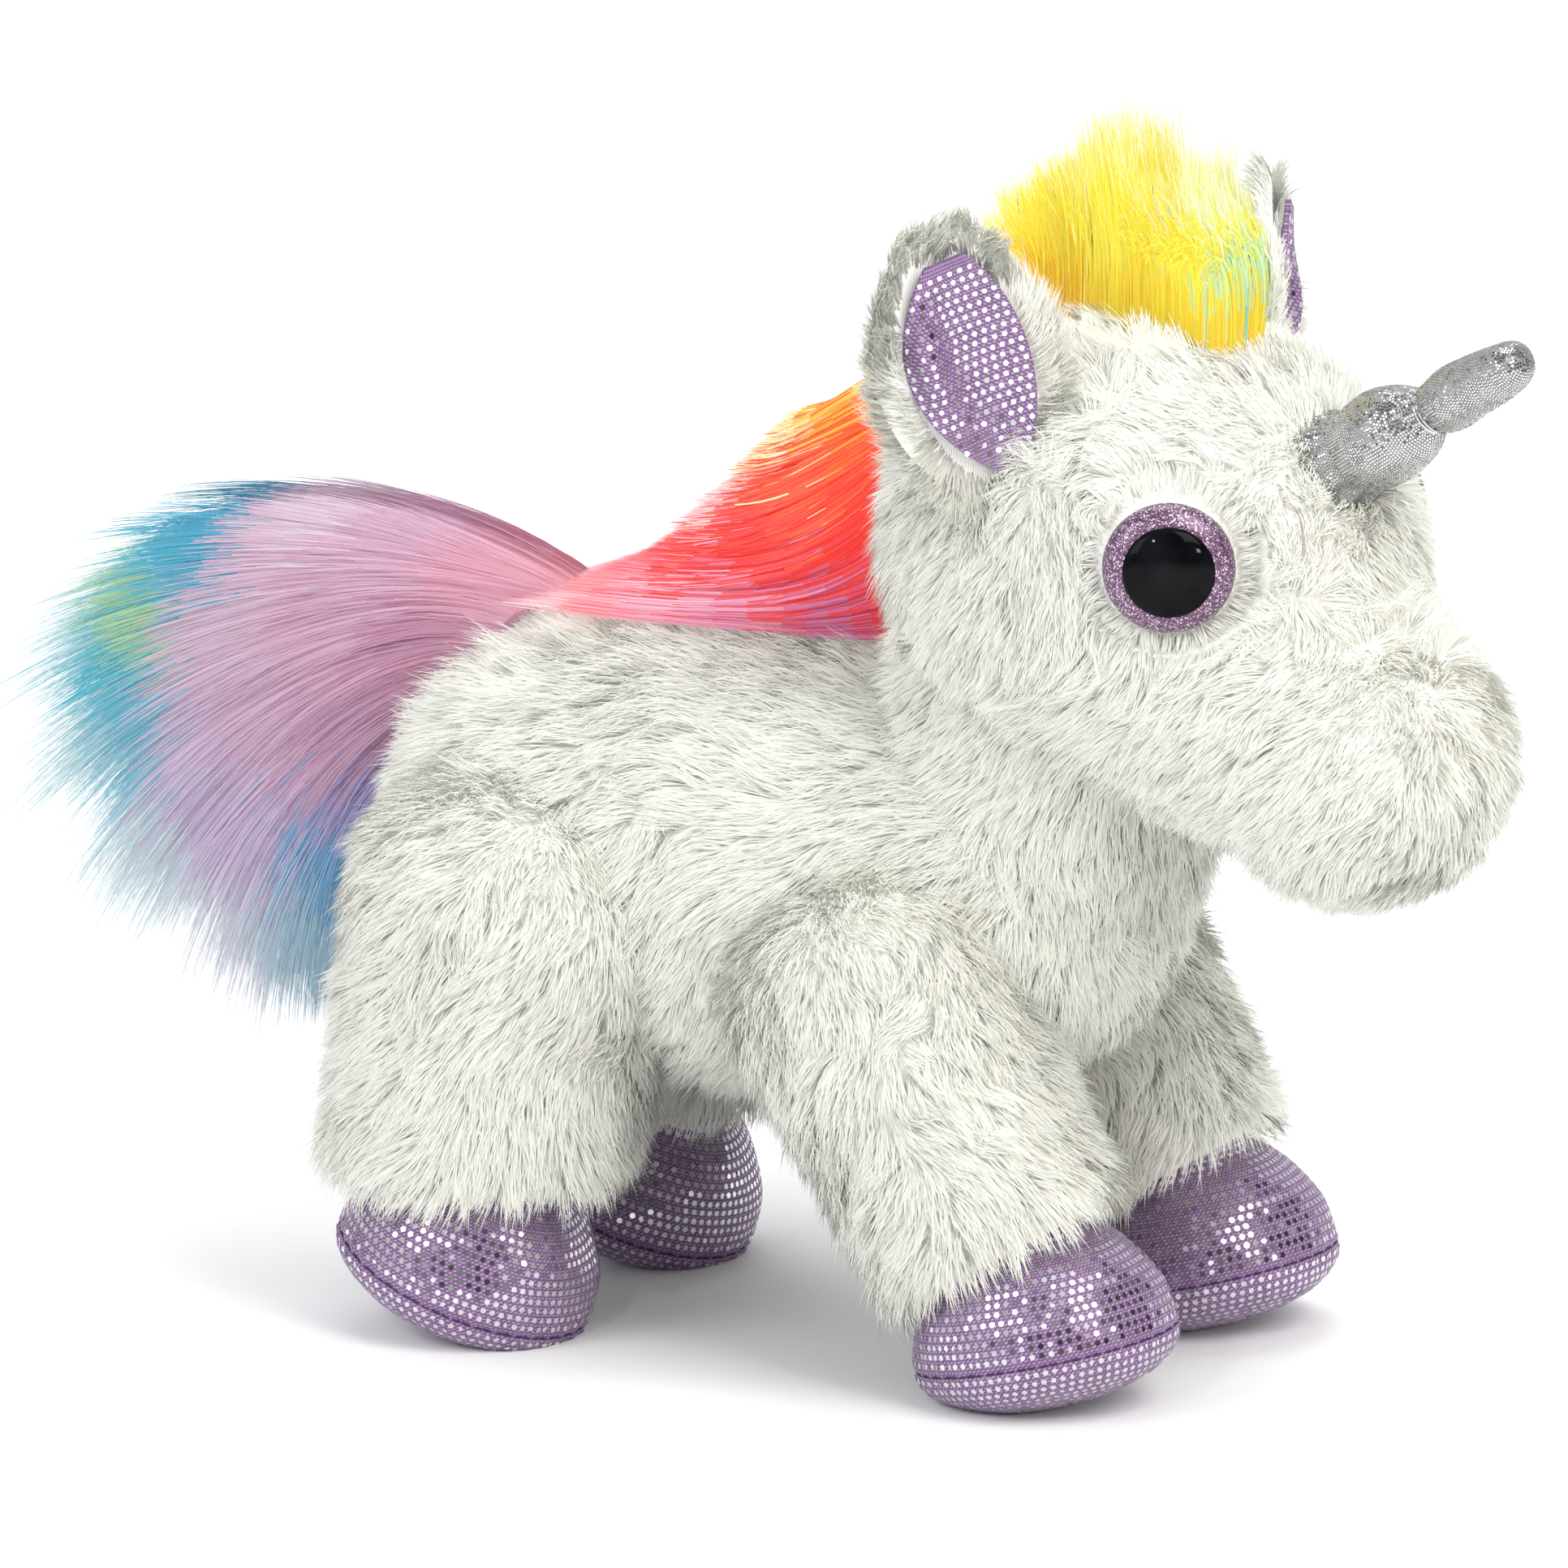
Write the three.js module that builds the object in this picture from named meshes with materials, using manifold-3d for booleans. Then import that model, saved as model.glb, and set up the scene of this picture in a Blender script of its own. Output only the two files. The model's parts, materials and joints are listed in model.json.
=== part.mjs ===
// Plush unicorn, standing, with a soft horn, long rainbow mane and tail, and foil-dotted satin hooves.
// Frame: millimetres, +Z up, nose toward -Y, the animal's left side toward +X.
// The origin is on the floor, below the middle of the whole toy.
// Fur panels are solids as thick as the fabric and the flattened pile together.

import * as THREE from 'three';
import { ConvexGeometry } from 'three/addons/geometries/ConvexGeometry.js';
import { mergeVertices } from 'three/addons/utils/BufferGeometryUtils.js';
import Module from 'manifold-3d';

const wasm = await Module();
wasm.setup();

// ---------------------------------------------------------------- driving dimensions

const GAP = 0.35; // between pieces that touch on the sewn toy
const FUR = 3; // plush fabric with its pile pressed flat
const SATIN = 1.6; // hoof and horn fabric with its backing
const DEG = Math.PI / 180;

// The animal is laid out about a point between its feet; this moves it to the row's origin.
const LAYOUT_SHIFT = { x: 0, y: -13.8 };

const TORSO = { forward: -19, height: 88.5, halfLength: 76, halfWidth: 45, halfHeight: 42, power: 2.5 };
const BELLY_PANEL_HALF_WIDTH = 19;
const BELLY_PANEL_TOP = 66;
const PELLET_BAG = { forward: -18, up: 56, halfLength: 30, halfWidth: 26, halfHeight: 15 };

const NECK = { forward: 33, height: 112, ball: 22 };
const HEAD_YAW = -12 * DEG; // the head looks a little toward the animal's right
const HEAD_BALL = { forward: 24.5, up: 45, halfLength: 49, halfWidth: 43.5, halfHeight: 42 };
const MUZZLE = { forward: 77, up: 12.5, halfLength: 25.5, halfWidth: 27, halfHeight: 25 };
const HEAD_GUSSET_HALF_WIDTH = 13;
const HAIR_STRIP = 1.6;
const HEAD_TURN = [-20, 40];
const HEAD_NOD = [-15, 12];

const EYE = { bearing: 49, up: 6, facing: 52, radius: 12, pupil: 8.4, stem: 2, depth: 11 };
const WASHER = { radius: 8, thick: 1.4, behind: 8 };
// The toy's left ear is sewn on a little lower than its right one.
const EAR = { bearing: 92, sunk: 3, facing: 34, left: { up: 11, splay: 25 }, right: { up: 18, splay: 18.6 } };
const EAR_BACK = { length: 50, width: 36, thick: 5.5 };
const EAR_LINING = { length: 38, width: 23, thick: 1.4, raised: 5 };
const EAR_FOLD = [-15, 30];
const HORN = { forward: 72.5, up: 68, rise: 31.5, waist: 4.6, waistUp: 22.5, cloth: 1.2, thread: 0.6 };
const HORN_FLEX = [-12, 12];

const FRONT = {
  name: 'front', forward: 14, height: 76, slant: 31, thigh: 26, cuff: 22, reach: 60, widthShare: 0.95,
  seamForward: 51.5, seamHeight: 10.4, tilt: 13, dome: 11, swing: [-22, 28],
};
const HIND = {
  name: 'hind', forward: -57, height: 82, slant: -11, thigh: 31, cuff: 27, reach: 60, widthShare: 0.82,
  seamForward: -69, seamHeight: 10.9, tilt: -23, dome: 10, swing: [-26, 20],
};
const LEG_LATERAL = 33;
const HOOF = { radius: 25, widthShare: 0.95, height: 25, mouth: 11, sole: 2.6, thread: 0.5 };

const TAIL = { forward: -84, height: 119, ball: 8, socket: 1 };
const TAIL_SWING = [-22, 22];
const TAIL_LIFT = [-12, 15];

// ---------------------------------------------------------------- materials

const cloth = (color, roughness, metalness = 0) =>
  new THREE.MeshStandardMaterial({ color, roughness, metalness });

const whiteFur = cloth(0xeeeee8, 0.95);
const stuffing = cloth(0xf7f6f2, 1);
const pellets = cloth(0xe8e4da, 0.6);
const dottedSatin = cloth(0x765493, 0.4, 0.3);
const silverMesh = cloth(0xb9bcc0, 0.35, 0.7);
const silverThread = cloth(0xc9cbd0, 0.5, 0.3);
const purpleThread = cloth(0x3b2450, 0.8);
const yellowHair = cloth(0xf6d92e, 0.6);
const coralHair = cloth(0xf5584f, 0.6);
const mauveHair = cloth(0xb98cc6, 0.6);
const backing = cloth(0xd9d4cc, 0.95);
const glitter = cloth(0x75548c, 0.3, 0.4);
const blackPlastic = cloth(0x060607, 0.05);
const whitePlastic = cloth(0xe3e3e0, 0.4);

// ---------------------------------------------------------------- solids

function solidOf(geometry) {
  const bare = geometry.clone();
  bare.deleteAttribute('normal');
  bare.deleteAttribute('uv');
  const merged = mergeVertices(bare, 1e-4);
  const corners = merged.index.array;
  const triVerts = [];
  for (let i = 0; i < corners.length; i += 3) {
    const [a, b, c] = [corners[i], corners[i + 1], corners[i + 2]];
    if (a !== b && b !== c && c !== a) triVerts.push(a, b, c);
  }
  return new wasm.Manifold(new wasm.Mesh({
    numProp: 3,
    vertProperties: Float32Array.from(merged.attributes.position.array),
    triVerts: Uint32Array.from(triVerts),
  }));
}

function geometryOf(solid) {
  const mesh = solid.getMesh();
  const geometry = new THREE.BufferGeometry();
  geometry.setAttribute('position', new THREE.BufferAttribute(Float32Array.from(mesh.vertProperties), 3));
  geometry.setIndex(Array.from(mesh.triVerts));
  geometry.computeVertexNormals();
  return geometry;
}

const cut = (geometry, ...tools) =>
  geometryOf(tools.reduce((left, tool) => left.subtract(solidOf(tool)), solidOf(geometry)));

const common = (geometry, ...others) =>
  geometryOf(others.reduce((left, other) => left.intersect(solidOf(other)), solidOf(geometry)));

const block = (low, high) => {
  const size = new THREE.Vector3().subVectors(high, low);
  const middle = new THREE.Vector3().addVectors(low, high).multiplyScalar(0.5);
  return new THREE.BoxGeometry(size.x, size.y, size.z).translate(middle.x, middle.y, middle.z);
};

const slab = (xLow, xHigh, zLow = -300, zHigh = 500) =>
  block(new THREE.Vector3(xLow, -400, zLow), new THREE.Vector3(xHigh, 400, zHigh));

// Forward is -Y in every frame of this file.
const at = (lateral, forward, up) => new THREE.Vector3(lateral, -forward, up);
const both = (half, forward, up) => [at(half, forward, up), at(-half, forward, up)];

function ellipsoid(size, grow = 0, sides = 14, rings = 8) {
  const { forward = 0, up = 0, halfLength, halfWidth, halfHeight } = size;
  return new THREE.SphereGeometry(1, sides, rings)
    .rotateX(Math.PI / 2)
    .scale(halfWidth + grow, halfLength + grow, halfHeight + grow)
    .translate(0, -forward, up);
}

// A turned solid about the local Z axis, from (radius, height) pairs listed from the bottom up.
function turned(profile, sides = 12) {
  const points = profile.map(([radius, height]) => new THREE.Vector2(radius, height));
  return new THREE.LatheGeometry(points, sides).rotateX(Math.PI / 2);
}

// Points on an arc about (0, centre): radius times the sine and cosine of each angle, in degrees.
function arc(radius, centre, from, to, steps) {
  return Array.from({ length: steps + 1 }, (_, i) => {
    const angle = (from + ((to - from) * i) / steps) * DEG;
    const reach = Math.abs(Math.sin(angle)) < 1e-9 ? 0 : radius * Math.sin(angle);
    return [reach, centre + radius * Math.cos(angle)];
  });
}

function cornersOf(geometry) {
  const position = geometry.attributes.position;
  const corner = (_, i) => new THREE.Vector3().fromBufferAttribute(position, i);
  return Array.from({ length: position.count }, corner);
}

const hull = (...geometries) => new ConvexGeometry(geometries.flatMap(cornersOf));

function turnAbout(geometry, pivot, axis, degrees) {
  return geometry.clone()
    .translate(-pivot.x, -pivot.y, -pivot.z)
    .applyMatrix4(new THREE.Matrix4().makeRotationAxis(axis, degrees * DEG))
    .translate(pivot.x, pivot.y, pivot.z);
}

const spread = ([low, high], count) =>
  Array.from({ length: count }, (_, i) => low + ((high - low) * i) / (count - 1));

const X_AXIS = new THREE.Vector3(1, 0, 0);
const Z_AXIS = new THREE.Vector3(0, 0, 1);

// The piece less the room its neighbour needs while the piece turns about the pivot.
function clearOf(geometry, neighbour, pivot, axis, range, steps = 5) {
  return cut(geometry, ...spread(range, steps).map((angle) => turnAbout(neighbour, pivot, axis, -angle)));
}

function add(group, name, geometry, material) {
  const mesh = new THREE.Mesh(geometry, material);
  mesh.name = name;
  group.add(mesh);
  return mesh;
}

// ---------------------------------------------------------------- head shapes, in the head's frame

const headHull = (grow, sides = 14, rings = 8) =>
  hull(ellipsoid(HEAD_BALL, grow, sides, rings), ellipsoid(MUZZLE, grow, sides, rings));

// A socket's facets stand a little off its ball, so that the ball turns freely inside.
const neckBall = () => new THREE.SphereGeometry(NECK.ball, 12, 8).rotateX(Math.PI / 2);
const neckSocket = () => new THREE.SphereGeometry(NECK.ball + 1.2, 16, 10).rotateX(Math.PI / 2);

// Everything the head passes through while it turns and nods about the neck ball.
function headSweep() {
  const rough = headHull(HAIR_STRIP + GAP * 3, 10, 7);
  const copies = spread(HEAD_TURN, 3).flatMap((turn) =>
    spread(HEAD_NOD, 3).map((nod) => {
      const nodded = turnAbout(rough, new THREE.Vector3(), X_AXIS, nod);
      return turnAbout(nodded, new THREE.Vector3(), Z_AXIS, turn + HEAD_YAW / DEG);
    }));
  return hull(...copies).translate(0, -NECK.forward, NECK.height);
}

// ---------------------------------------------------------------- legs

function legProfileOuter(leg, grow) {
  return [
    [leg.cuff + grow, -leg.reach],
    [(leg.cuff + leg.thigh) / 2 + grow, -leg.reach / 2],
    ...arc(leg.thigh + grow, 0, 90, 0, 3),
  ];
}

const wide = (geometry, share) => geometry.scale(share, 1, 1);

const legBlank = (leg, grow) =>
  wide(turned([[0, -leg.reach], ...legProfileOuter(leg, grow)]), leg.widthShare);

function legMatrix(leg, side) {
  return new THREE.Matrix4()
    .makeTranslation(side * LEG_LATERAL, -leg.forward, leg.height)
    .multiply(new THREE.Matrix4().makeRotationX(-leg.slant * DEG));
}

function hoofMatrix(leg, side) {
  return new THREE.Matrix4()
    .makeTranslation(side * LEG_LATERAL, -leg.seamForward, leg.seamHeight)
    .multiply(new THREE.Matrix4().makeRotationX(-leg.tilt * DEG));
}

// Everything the leg passes through while it swings about its hip.
function legSweep(leg, side) {
  const hip = at(side * LEG_LATERAL, leg.forward, leg.height);
  const rest = legBlank(leg, 1).applyMatrix4(legMatrix(leg, side));
  return hull(...spread(leg.swing, 3).map((angle) => turnAbout(rest, hip, X_AXIS, angle)));
}

// The hoof's crown above the seam, and its domed sole below; both are measured from the seam's plane.
const crown = (grow, from, to, steps) => {
  const outline = arc(1, 0, from, to, steps);
  return outline.map(([r, h]) => [r * (HOOF.radius + grow), h * (HOOF.height + grow)]);
};

function soleArc(leg, grow, steps) {
  const radius = (HOOF.radius ** 2 + leg.dome ** 2) / (2 * leg.dome);
  const centre = radius - leg.dome;
  const edge = Math.asin(HOOF.radius / radius) / DEG;
  return arc(radius + grow, centre, 180, 180 - edge, steps);
}

function hoofUpper() {
  const mouth = Math.asin(HOOF.mouth / HOOF.radius) / DEG;
  const outer = crown(0, 90, mouth, 3);
  const inner = crown(-SATIN, mouth, 90, 3);
  const lift = [outer, inner].map((line) => line.map(([r, h]) => [r, h + GAP / 2]));
  return wide(turned([...lift[0], ...lift[1], lift[0][0]]), HOOF.widthShare);
}

function hoofSole(leg) {
  const outer = soleArc(leg, 0, 4);
  const inner = soleArc(leg, -HOOF.sole, 3).reverse();
  const rim = -GAP / 2;
  const flatten = ([r, h]) => [r, Math.min(h, rim)];
  return wide(turned([...outer, ...inner].map(flatten)), HOOF.widthShare);
}

function hoofFilling(leg) {
  const low = soleArc(leg, -HOOF.sole - GAP, 3);
  const high = crown(-SATIN - GAP, 90, 0, 3);
  return wide(turned([...low, ...high]), HOOF.widthShare);
}

function hoofBlank(leg, grow) {
  const outline = [...soleArc(leg, grow, 3), ...crown(grow, 90, 0, 4)];
  return wide(turned(outline), HOOF.widthShare);
}

function seamThread() {
  const ring = new THREE.TorusGeometry(HOOF.radius + HOOF.thread + GAP, HOOF.thread, 4, 16);
  return wide(ring, HOOF.widthShare);
}

function leg(spec, side, sideName) {
  const name = (piece) => `${spec.name}_${sideName}_${piece}`;
  const swing = new THREE.Group();
  swing.applyMatrix4(legMatrix(spec, side));
  const hoofInLeg = legMatrix(spec, side).invert().multiply(hoofMatrix(spec, side));
  const hoofRoom = hoofBlank(spec, GAP + HOOF.thread * 2).applyMatrix4(hoofInLeg);
  const sleeve = turned([
    ...legProfileOuter(spec, 0),
    ...legProfileOuter(spec, -FUR).reverse(),
    legProfileOuter(spec, 0)[0],
  ]);
  const sleeveFilling = legBlank(spec, -FUR - GAP);
  add(swing, name('leg_cover'), cut(wide(sleeve, spec.widthShare), hoofRoom), whiteFur);
  add(swing, name('leg_stuffing'), cut(sleeveFilling, hoofRoom), stuffing);

  const hoof = new THREE.Group();
  hoof.applyMatrix4(hoofInLeg);
  const floor = slab(-400, 400, -50, 0).applyMatrix4(hoofMatrix(spec, side).invert());
  add(hoof, name('hoof_upper'), hoofUpper(), dottedSatin);
  add(hoof, name('hoof_sole'), cut(hoofSole(spec), floor), dottedSatin);
  add(hoof, name('hoof_pellets'), hoofFilling(spec), pellets);
  add(hoof, name('hoof_seam_thread'), seamThread(), purpleThread);
  swing.add(hoof);
  return swing;
}

// ---------------------------------------------------------------- torso

function torsoBean(grow, sides = 16, rings = 9) {
  const bend = 2 / TORSO.power;
  const outline = Array.from({ length: rings + 1 }, (_, i) => {
    const angle = (Math.PI * i) / rings;
    const along = -Math.sign(Math.cos(angle)) * Math.abs(Math.cos(angle)) ** bend;
    const around = i === 0 || i === rings ? 0 : Math.sin(angle) ** bend;
    return new THREE.Vector2(around, along * (TORSO.halfLength + grow));
  });
  return new THREE.LatheGeometry(outline, sides)
    .scale(TORSO.halfWidth + grow, 1, TORSO.halfHeight + grow)
    .translate(0, -TORSO.forward, TORSO.height);
}

const tailBall = (grow) => new THREE.SphereGeometry(TAIL.ball + grow, 10, 6);

function torso(sweeps) {
  const group = new THREE.Group();
  const neckRoom = neckSocket().translate(0, -NECK.forward, NECK.height);
  const tailRoom = tailBall(TAIL.socket).translate(0, -TAIL.forward, TAIL.height);
  const sockets = [...sweeps, neckRoom, tailRoom];
  const shell = cut(torsoBean(0), torsoBean(-FUR), ...sockets);
  const half = GAP / 2;
  const bellySlab = (grow) => {
    const edge = BELLY_PANEL_HALF_WIDTH + grow;
    return slab(-edge, edge, -50, BELLY_PANEL_TOP + grow);
  };
  add(group, 'body_side_left', common(cut(shell, bellySlab(half)), slab(half, 200)), whiteFur);
  add(group, 'body_side_right', common(cut(shell, bellySlab(half)), slab(-200, -half)), whiteFur);
  add(group, 'belly_gusset', common(shell, bellySlab(-half)), whiteFur);

  const filling = cut(torsoBean(-FUR - GAP), ...sockets);
  const bagRoom = ellipsoid(PELLET_BAG, GAP, 10, 6);
  const bag = ellipsoid(PELLET_BAG, 0, 10, 6);
  add(group, 'body_stuffing', cut(filling, bagRoom), stuffing);
  add(group, 'belly_pellet_bag', common(bag, filling), pellets);
  return group;
}

// ---------------------------------------------------------------- neck

function neck() {
  const group = new THREE.Group();
  group.position.set(0, -NECK.forward, NECK.height);
  add(group, 'neck_stuffing', neckBall(), stuffing);
  return group;
}

// The long hair sewn down the back of the head, lying along the animal's back.
function neckMane(keepOut) {
  const lock = [
    ...both(7, 14, 189), ...both(8, -12, 184), ...both(12, 14, 150), ...both(15, 10, 134.5),
    ...both(10, -27, 166), ...both(15, -30, 134), ...both(5, -63, 139), ...both(6, -66, 134),
  ];
  return cut(new ConvexGeometry(lock), ...keepOut);
}

// ---------------------------------------------------------------- head

const bearingPoint = (bearing, up, grow) => {
  const share = Math.sqrt(1 - (up / (HEAD_BALL.halfHeight + grow)) ** 2);
  const lateral = (HEAD_BALL.halfWidth + grow) * share * Math.sin(bearing * DEG);
  const forward = (HEAD_BALL.halfLength + grow) * share * Math.cos(bearing * DEG);
  return at(lateral, HEAD_BALL.forward + forward, HEAD_BALL.up + up);
};

// The local +Z of an eye looks outward from the head.
function eyeMatrix(side) {
  const place = bearingPoint(EYE.bearing, EYE.up, 0);
  return new THREE.Matrix4()
    .makeTranslation(side * place.x, place.y, place.z)
    .multiply(new THREE.Matrix4().makeRotationZ(side * EYE.facing * DEG))
    .multiply(new THREE.Matrix4().makeRotationX(90 * DEG));
}

function eyeGlitter() {
  const recess = 1.1;
  return turned([
    [0, -EYE.depth], [EYE.stem, -EYE.depth], [EYE.stem, 0.4], [EYE.radius, 0.4], [EYE.radius, 1.2],
    [EYE.radius - 1.4, 2.6], [EYE.pupil + GAP, 3.2], [EYE.pupil + GAP, recess], [0, recess],
  ], 16);
}

function eyePupil() {
  const base = 1.1 + GAP;
  return turned([[0, base], [EYE.pupil, base], [EYE.pupil, 3.4], [EYE.pupil * 0.7, 5.2], [0, 6]], 16);
}

function eyeWasher() {
  const [inner, outer] = [EYE.stem + GAP, WASHER.radius];
  const [back, front] = [-WASHER.behind, WASHER.thick - WASHER.behind];
  return turned([[inner, back], [outer, back], [outer, front], [inner, front], [inner, back]], 16);
}

const plug = (radius, low, high) => turned([[0, low], [radius, low], [radius, high], [0, high]], 16);
const eyeStemRoom = () => plug(EYE.stem + GAP, -EYE.depth - 1, 5);
const eyeWasherRoom = () => {
  const front = WASHER.thick - WASHER.behind;
  return plug(WASHER.radius + GAP, -WASHER.behind - GAP, front + GAP);
};
const eyeSeat = () => plug(EYE.radius + GAP, 0.2, 12);

function eye(head, side, sideName) {
  const group = new THREE.Group();
  group.applyMatrix4(eyeMatrix(side));
  add(group, `eye_${sideName}_glitter_ring`, eyeGlitter(), glitter);
  add(group, `eye_${sideName}_pupil`, eyePupil(), blackPlastic);
  add(group, `eye_${sideName}_washer`, eyeWasher(), whitePlastic);
  head.add(group);
}

// Hair rows sewn into the seam over the crown and down the nape, and the strip that holds each.
const hairStrip = (low, high) => {
  const band = cut(headHull(GAP + HAIR_STRIP), headHull(GAP));
  return common(band, block(low, high));
};

function crownMane(roomForHead) {
  const centre = HEAD_BALL.forward;
  const tuft = [
    ...both(7, centre + 34, 76), ...both(8, centre - 32, 78), ...both(4, centre + 31, 106),
    ...both(3, centre + 12, 123), ...both(4, centre - 14, 124), ...both(5, centre - 42, 104),
  ];
  return cut(new ConvexGeometry(tuft), roomForHead);
}

function head() {
  const group = new THREE.Group();
  group.position.set(0, -NECK.forward, NECK.height);
  group.rotation.z = HEAD_YAW;
  const stems = [1, -1].map((side) => eyeStemRoom().applyMatrix4(eyeMatrix(side)));
  const washers = [1, -1].map((side) => eyeWasherRoom().applyMatrix4(eyeMatrix(side)));
  const seats = [1, -1].map((side) => eyeSeat().applyMatrix4(eyeMatrix(side)));
  const shell = cut(headHull(0), headHull(-FUR), neckSocket(), ...stems, ...seats);
  const half = GAP / 2;
  const edge = HEAD_GUSSET_HALF_WIDTH;
  add(group, 'head_side_left', common(shell, slab(edge + half, 200)), whiteFur);
  add(group, 'head_side_right', common(shell, slab(-200, -edge - half)), whiteFur);
  add(group, 'head_gusset', common(shell, slab(-edge + half, edge - half)), whiteFur);
  add(group, 'head_stuffing', cut(headHull(-FUR - GAP), neckSocket(), ...stems, ...washers), stuffing);
  eye(group, 1, 'left');
  eye(group, -1, 'right');

  const centre = HEAD_BALL.forward;
  add(group, 'crown_mane_strip', hairStrip(at(-5, centre + 33, 60), at(5, centre - 30, 130)), backing);
  add(group, 'neck_mane_strip', hairStrip(at(-5, centre - 31, 26), at(5, centre - 80, 80)), backing);
  add(group, 'crown_mane_hair', crownMane(headHull(GAP + HAIR_STRIP + GAP)), yellowHair);
  return group;
}

// ---------------------------------------------------------------- ears

// A leaf standing on its point, fuller on the side away from the head's middle line.
function leaf({ length, width, thick }, foot, side) {
  const half = (width / 2) * side;
  const outline = new THREE.Shape();
  outline.moveTo(-foot * side, 0);
  outline.quadraticCurveTo(-half * 0.85, length * 0.45, -half * 0.7, length * 0.75);
  outline.quadraticCurveTo(-half * 0.2, length * 1.1, half * 0.45, length * 0.9);
  outline.quadraticCurveTo(half * 1.25, length * 0.5, foot * side, 0);
  outline.closePath();
  const shape = { depth: thick, bevelEnabled: false, curveSegments: 4 };
  return new THREE.ExtrudeGeometry(outline, shape).rotateX(Math.PI / 2);
}

function ear(side, sideName) {
  const group = new THREE.Group();
  const { up, splay } = EAR[sideName];
  const foot = bearingPoint(EAR.bearing, up, -EAR.sunk);
  group.position.set(side * foot.x, foot.y, foot.z);
  group.rotation.set(0, side * splay * DEG, side * EAR.facing * DEG, 'ZXY');
  group.updateMatrix();
  const skull = headHull(GAP * 2).applyMatrix4(group.matrix.clone().invert());
  const trimmed = (piece) => clearOf(piece, skull, new THREE.Vector3(), X_AXIS, EAR_FOLD, 3);
  const lining = leaf(EAR_LINING, 4, side).translate(0, -EAR_BACK.thick - GAP, EAR_LINING.raised);
  add(group, `ear_${sideName}_back`, trimmed(leaf(EAR_BACK, 12, side)), whiteFur);
  add(group, `ear_${sideName}_lining`, trimmed(lining), dottedSatin);
  return group;
}

// ---------------------------------------------------------------- horn

// Two soft bulges with a thread drawn tight between them; pairs of radius and height.
const hornOutline = (grow, foot) => [
  [9.2 + grow, foot], [8.6 + grow, 4], [9 + grow, 10], [7.2 + grow, 18], [HORN.waist + grow, HORN.waistUp],
  [5 + grow, 27], [4.8 + grow, 36], ...arc(4.6 + grow, 43, 90, 0, 3),
];

function horn() {
  const group = new THREE.Group();
  group.position.copy(at(0, HORN.forward, HORN.up));
  group.rotation.x = (90 - HORN.rise) * DEG;
  group.updateMatrix();
  const brow = headHull(GAP).applyMatrix4(group.matrix.clone().invert());
  const trimmed = (piece) => clearOf(piece, brow, new THREE.Vector3(), X_AXIS, HORN_FLEX, 2);
  const outer = hornOutline(0, -6);
  const inner = hornOutline(-HORN.cloth, -6).reverse();
  const filling = [[0, -6], ...hornOutline(-HORN.cloth - GAP, -6)];
  const thread = new THREE.TorusGeometry(HORN.waist + HORN.thread + GAP, HORN.thread, 4, 14);
  add(group, 'horn_cover', trimmed(turned([...outer, ...inner, outer[0]])), silverMesh);
  add(group, 'horn_stuffing', trimmed(turned(filling)), stuffing);
  add(group, 'horn_thread', thread.translate(0, 0, HORN.waistUp), silverThread);
  return group;
}

// ---------------------------------------------------------------- tail

function tailRoot() {
  const group = new THREE.Group();
  group.position.copy(at(0, TAIL.forward, TAIL.height));
  add(group, 'tail_root_pad', tailBall(0), backing);
  return group;
}

// A fan of hair from the top of the rump: back and slightly up, round to nearly straight down.
function tail() {
  const group = new THREE.Group();
  const pivot = at(0, TAIL.forward, TAIL.height);
  group.position.copy(pivot);
  const fan = [
    ...both(9, -84, 128), ...both(14, -92, 147), ...both(16, -128, 143), ...both(13, -154, 133),
    ...both(9, -169, 116), ...both(8, -172, 94), ...both(9, -162, 68), ...both(10, -140, 56),
    ...both(11, -116, 50), ...both(13, -106, 62), ...both(18, -122, 110), ...both(9, -94, 96),
  ];
  const rump = [torsoBean(GAP * 2), tailBall(TAIL.socket).translate(pivot.x, pivot.y, pivot.z)];
  const swung = spread(TAIL_SWING, 3).flatMap((swing) =>
    spread(TAIL_LIFT, 3).map((lift) =>
      turnAbout(turnAbout(rump[0], pivot, Z_AXIS, -swing), pivot, X_AXIS, -lift)));
  const hair = cut(new ConvexGeometry(fan), ...swung, rump[1]).translate(-pivot.x, -pivot.y, -pivot.z);
  add(group, 'tail_hair', hair, mauveHair);
  return group;
}

// ---------------------------------------------------------------- the whole toy

const toy = new THREE.Group();
const LEGS = [FRONT, HIND].flatMap((spec) => [[spec, 1, 'left'], [spec, -1, 'right']]);
const headGroup = head();
headGroup.updateMatrix();

toy.add(torso([headSweep(), ...LEGS.map(([spec, side]) => legSweep(spec, side))]));
LEGS.forEach(([spec, side, sideName]) => toy.add(leg(spec, side, sideName)));

const neckGroup = neck();
const hairRoom = headHull(GAP + HAIR_STRIP + GAP).applyMatrix4(headGroup.matrix);
const napeHair = neckMane([hairRoom]).translate(0, NECK.forward, -NECK.height);
add(neckGroup, 'neck_mane_hair', napeHair, coralHair);
toy.add(neckGroup);

headGroup.add(ear(1, 'left'), ear(-1, 'right'), horn());
toy.add(headGroup);
toy.add(tailRoot(), tail());
toy.position.set(LAYOUT_SHIFT.x, LAYOUT_SHIFT.y, 0);

export default toy;
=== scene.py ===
import itertools
import json
import math

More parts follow.
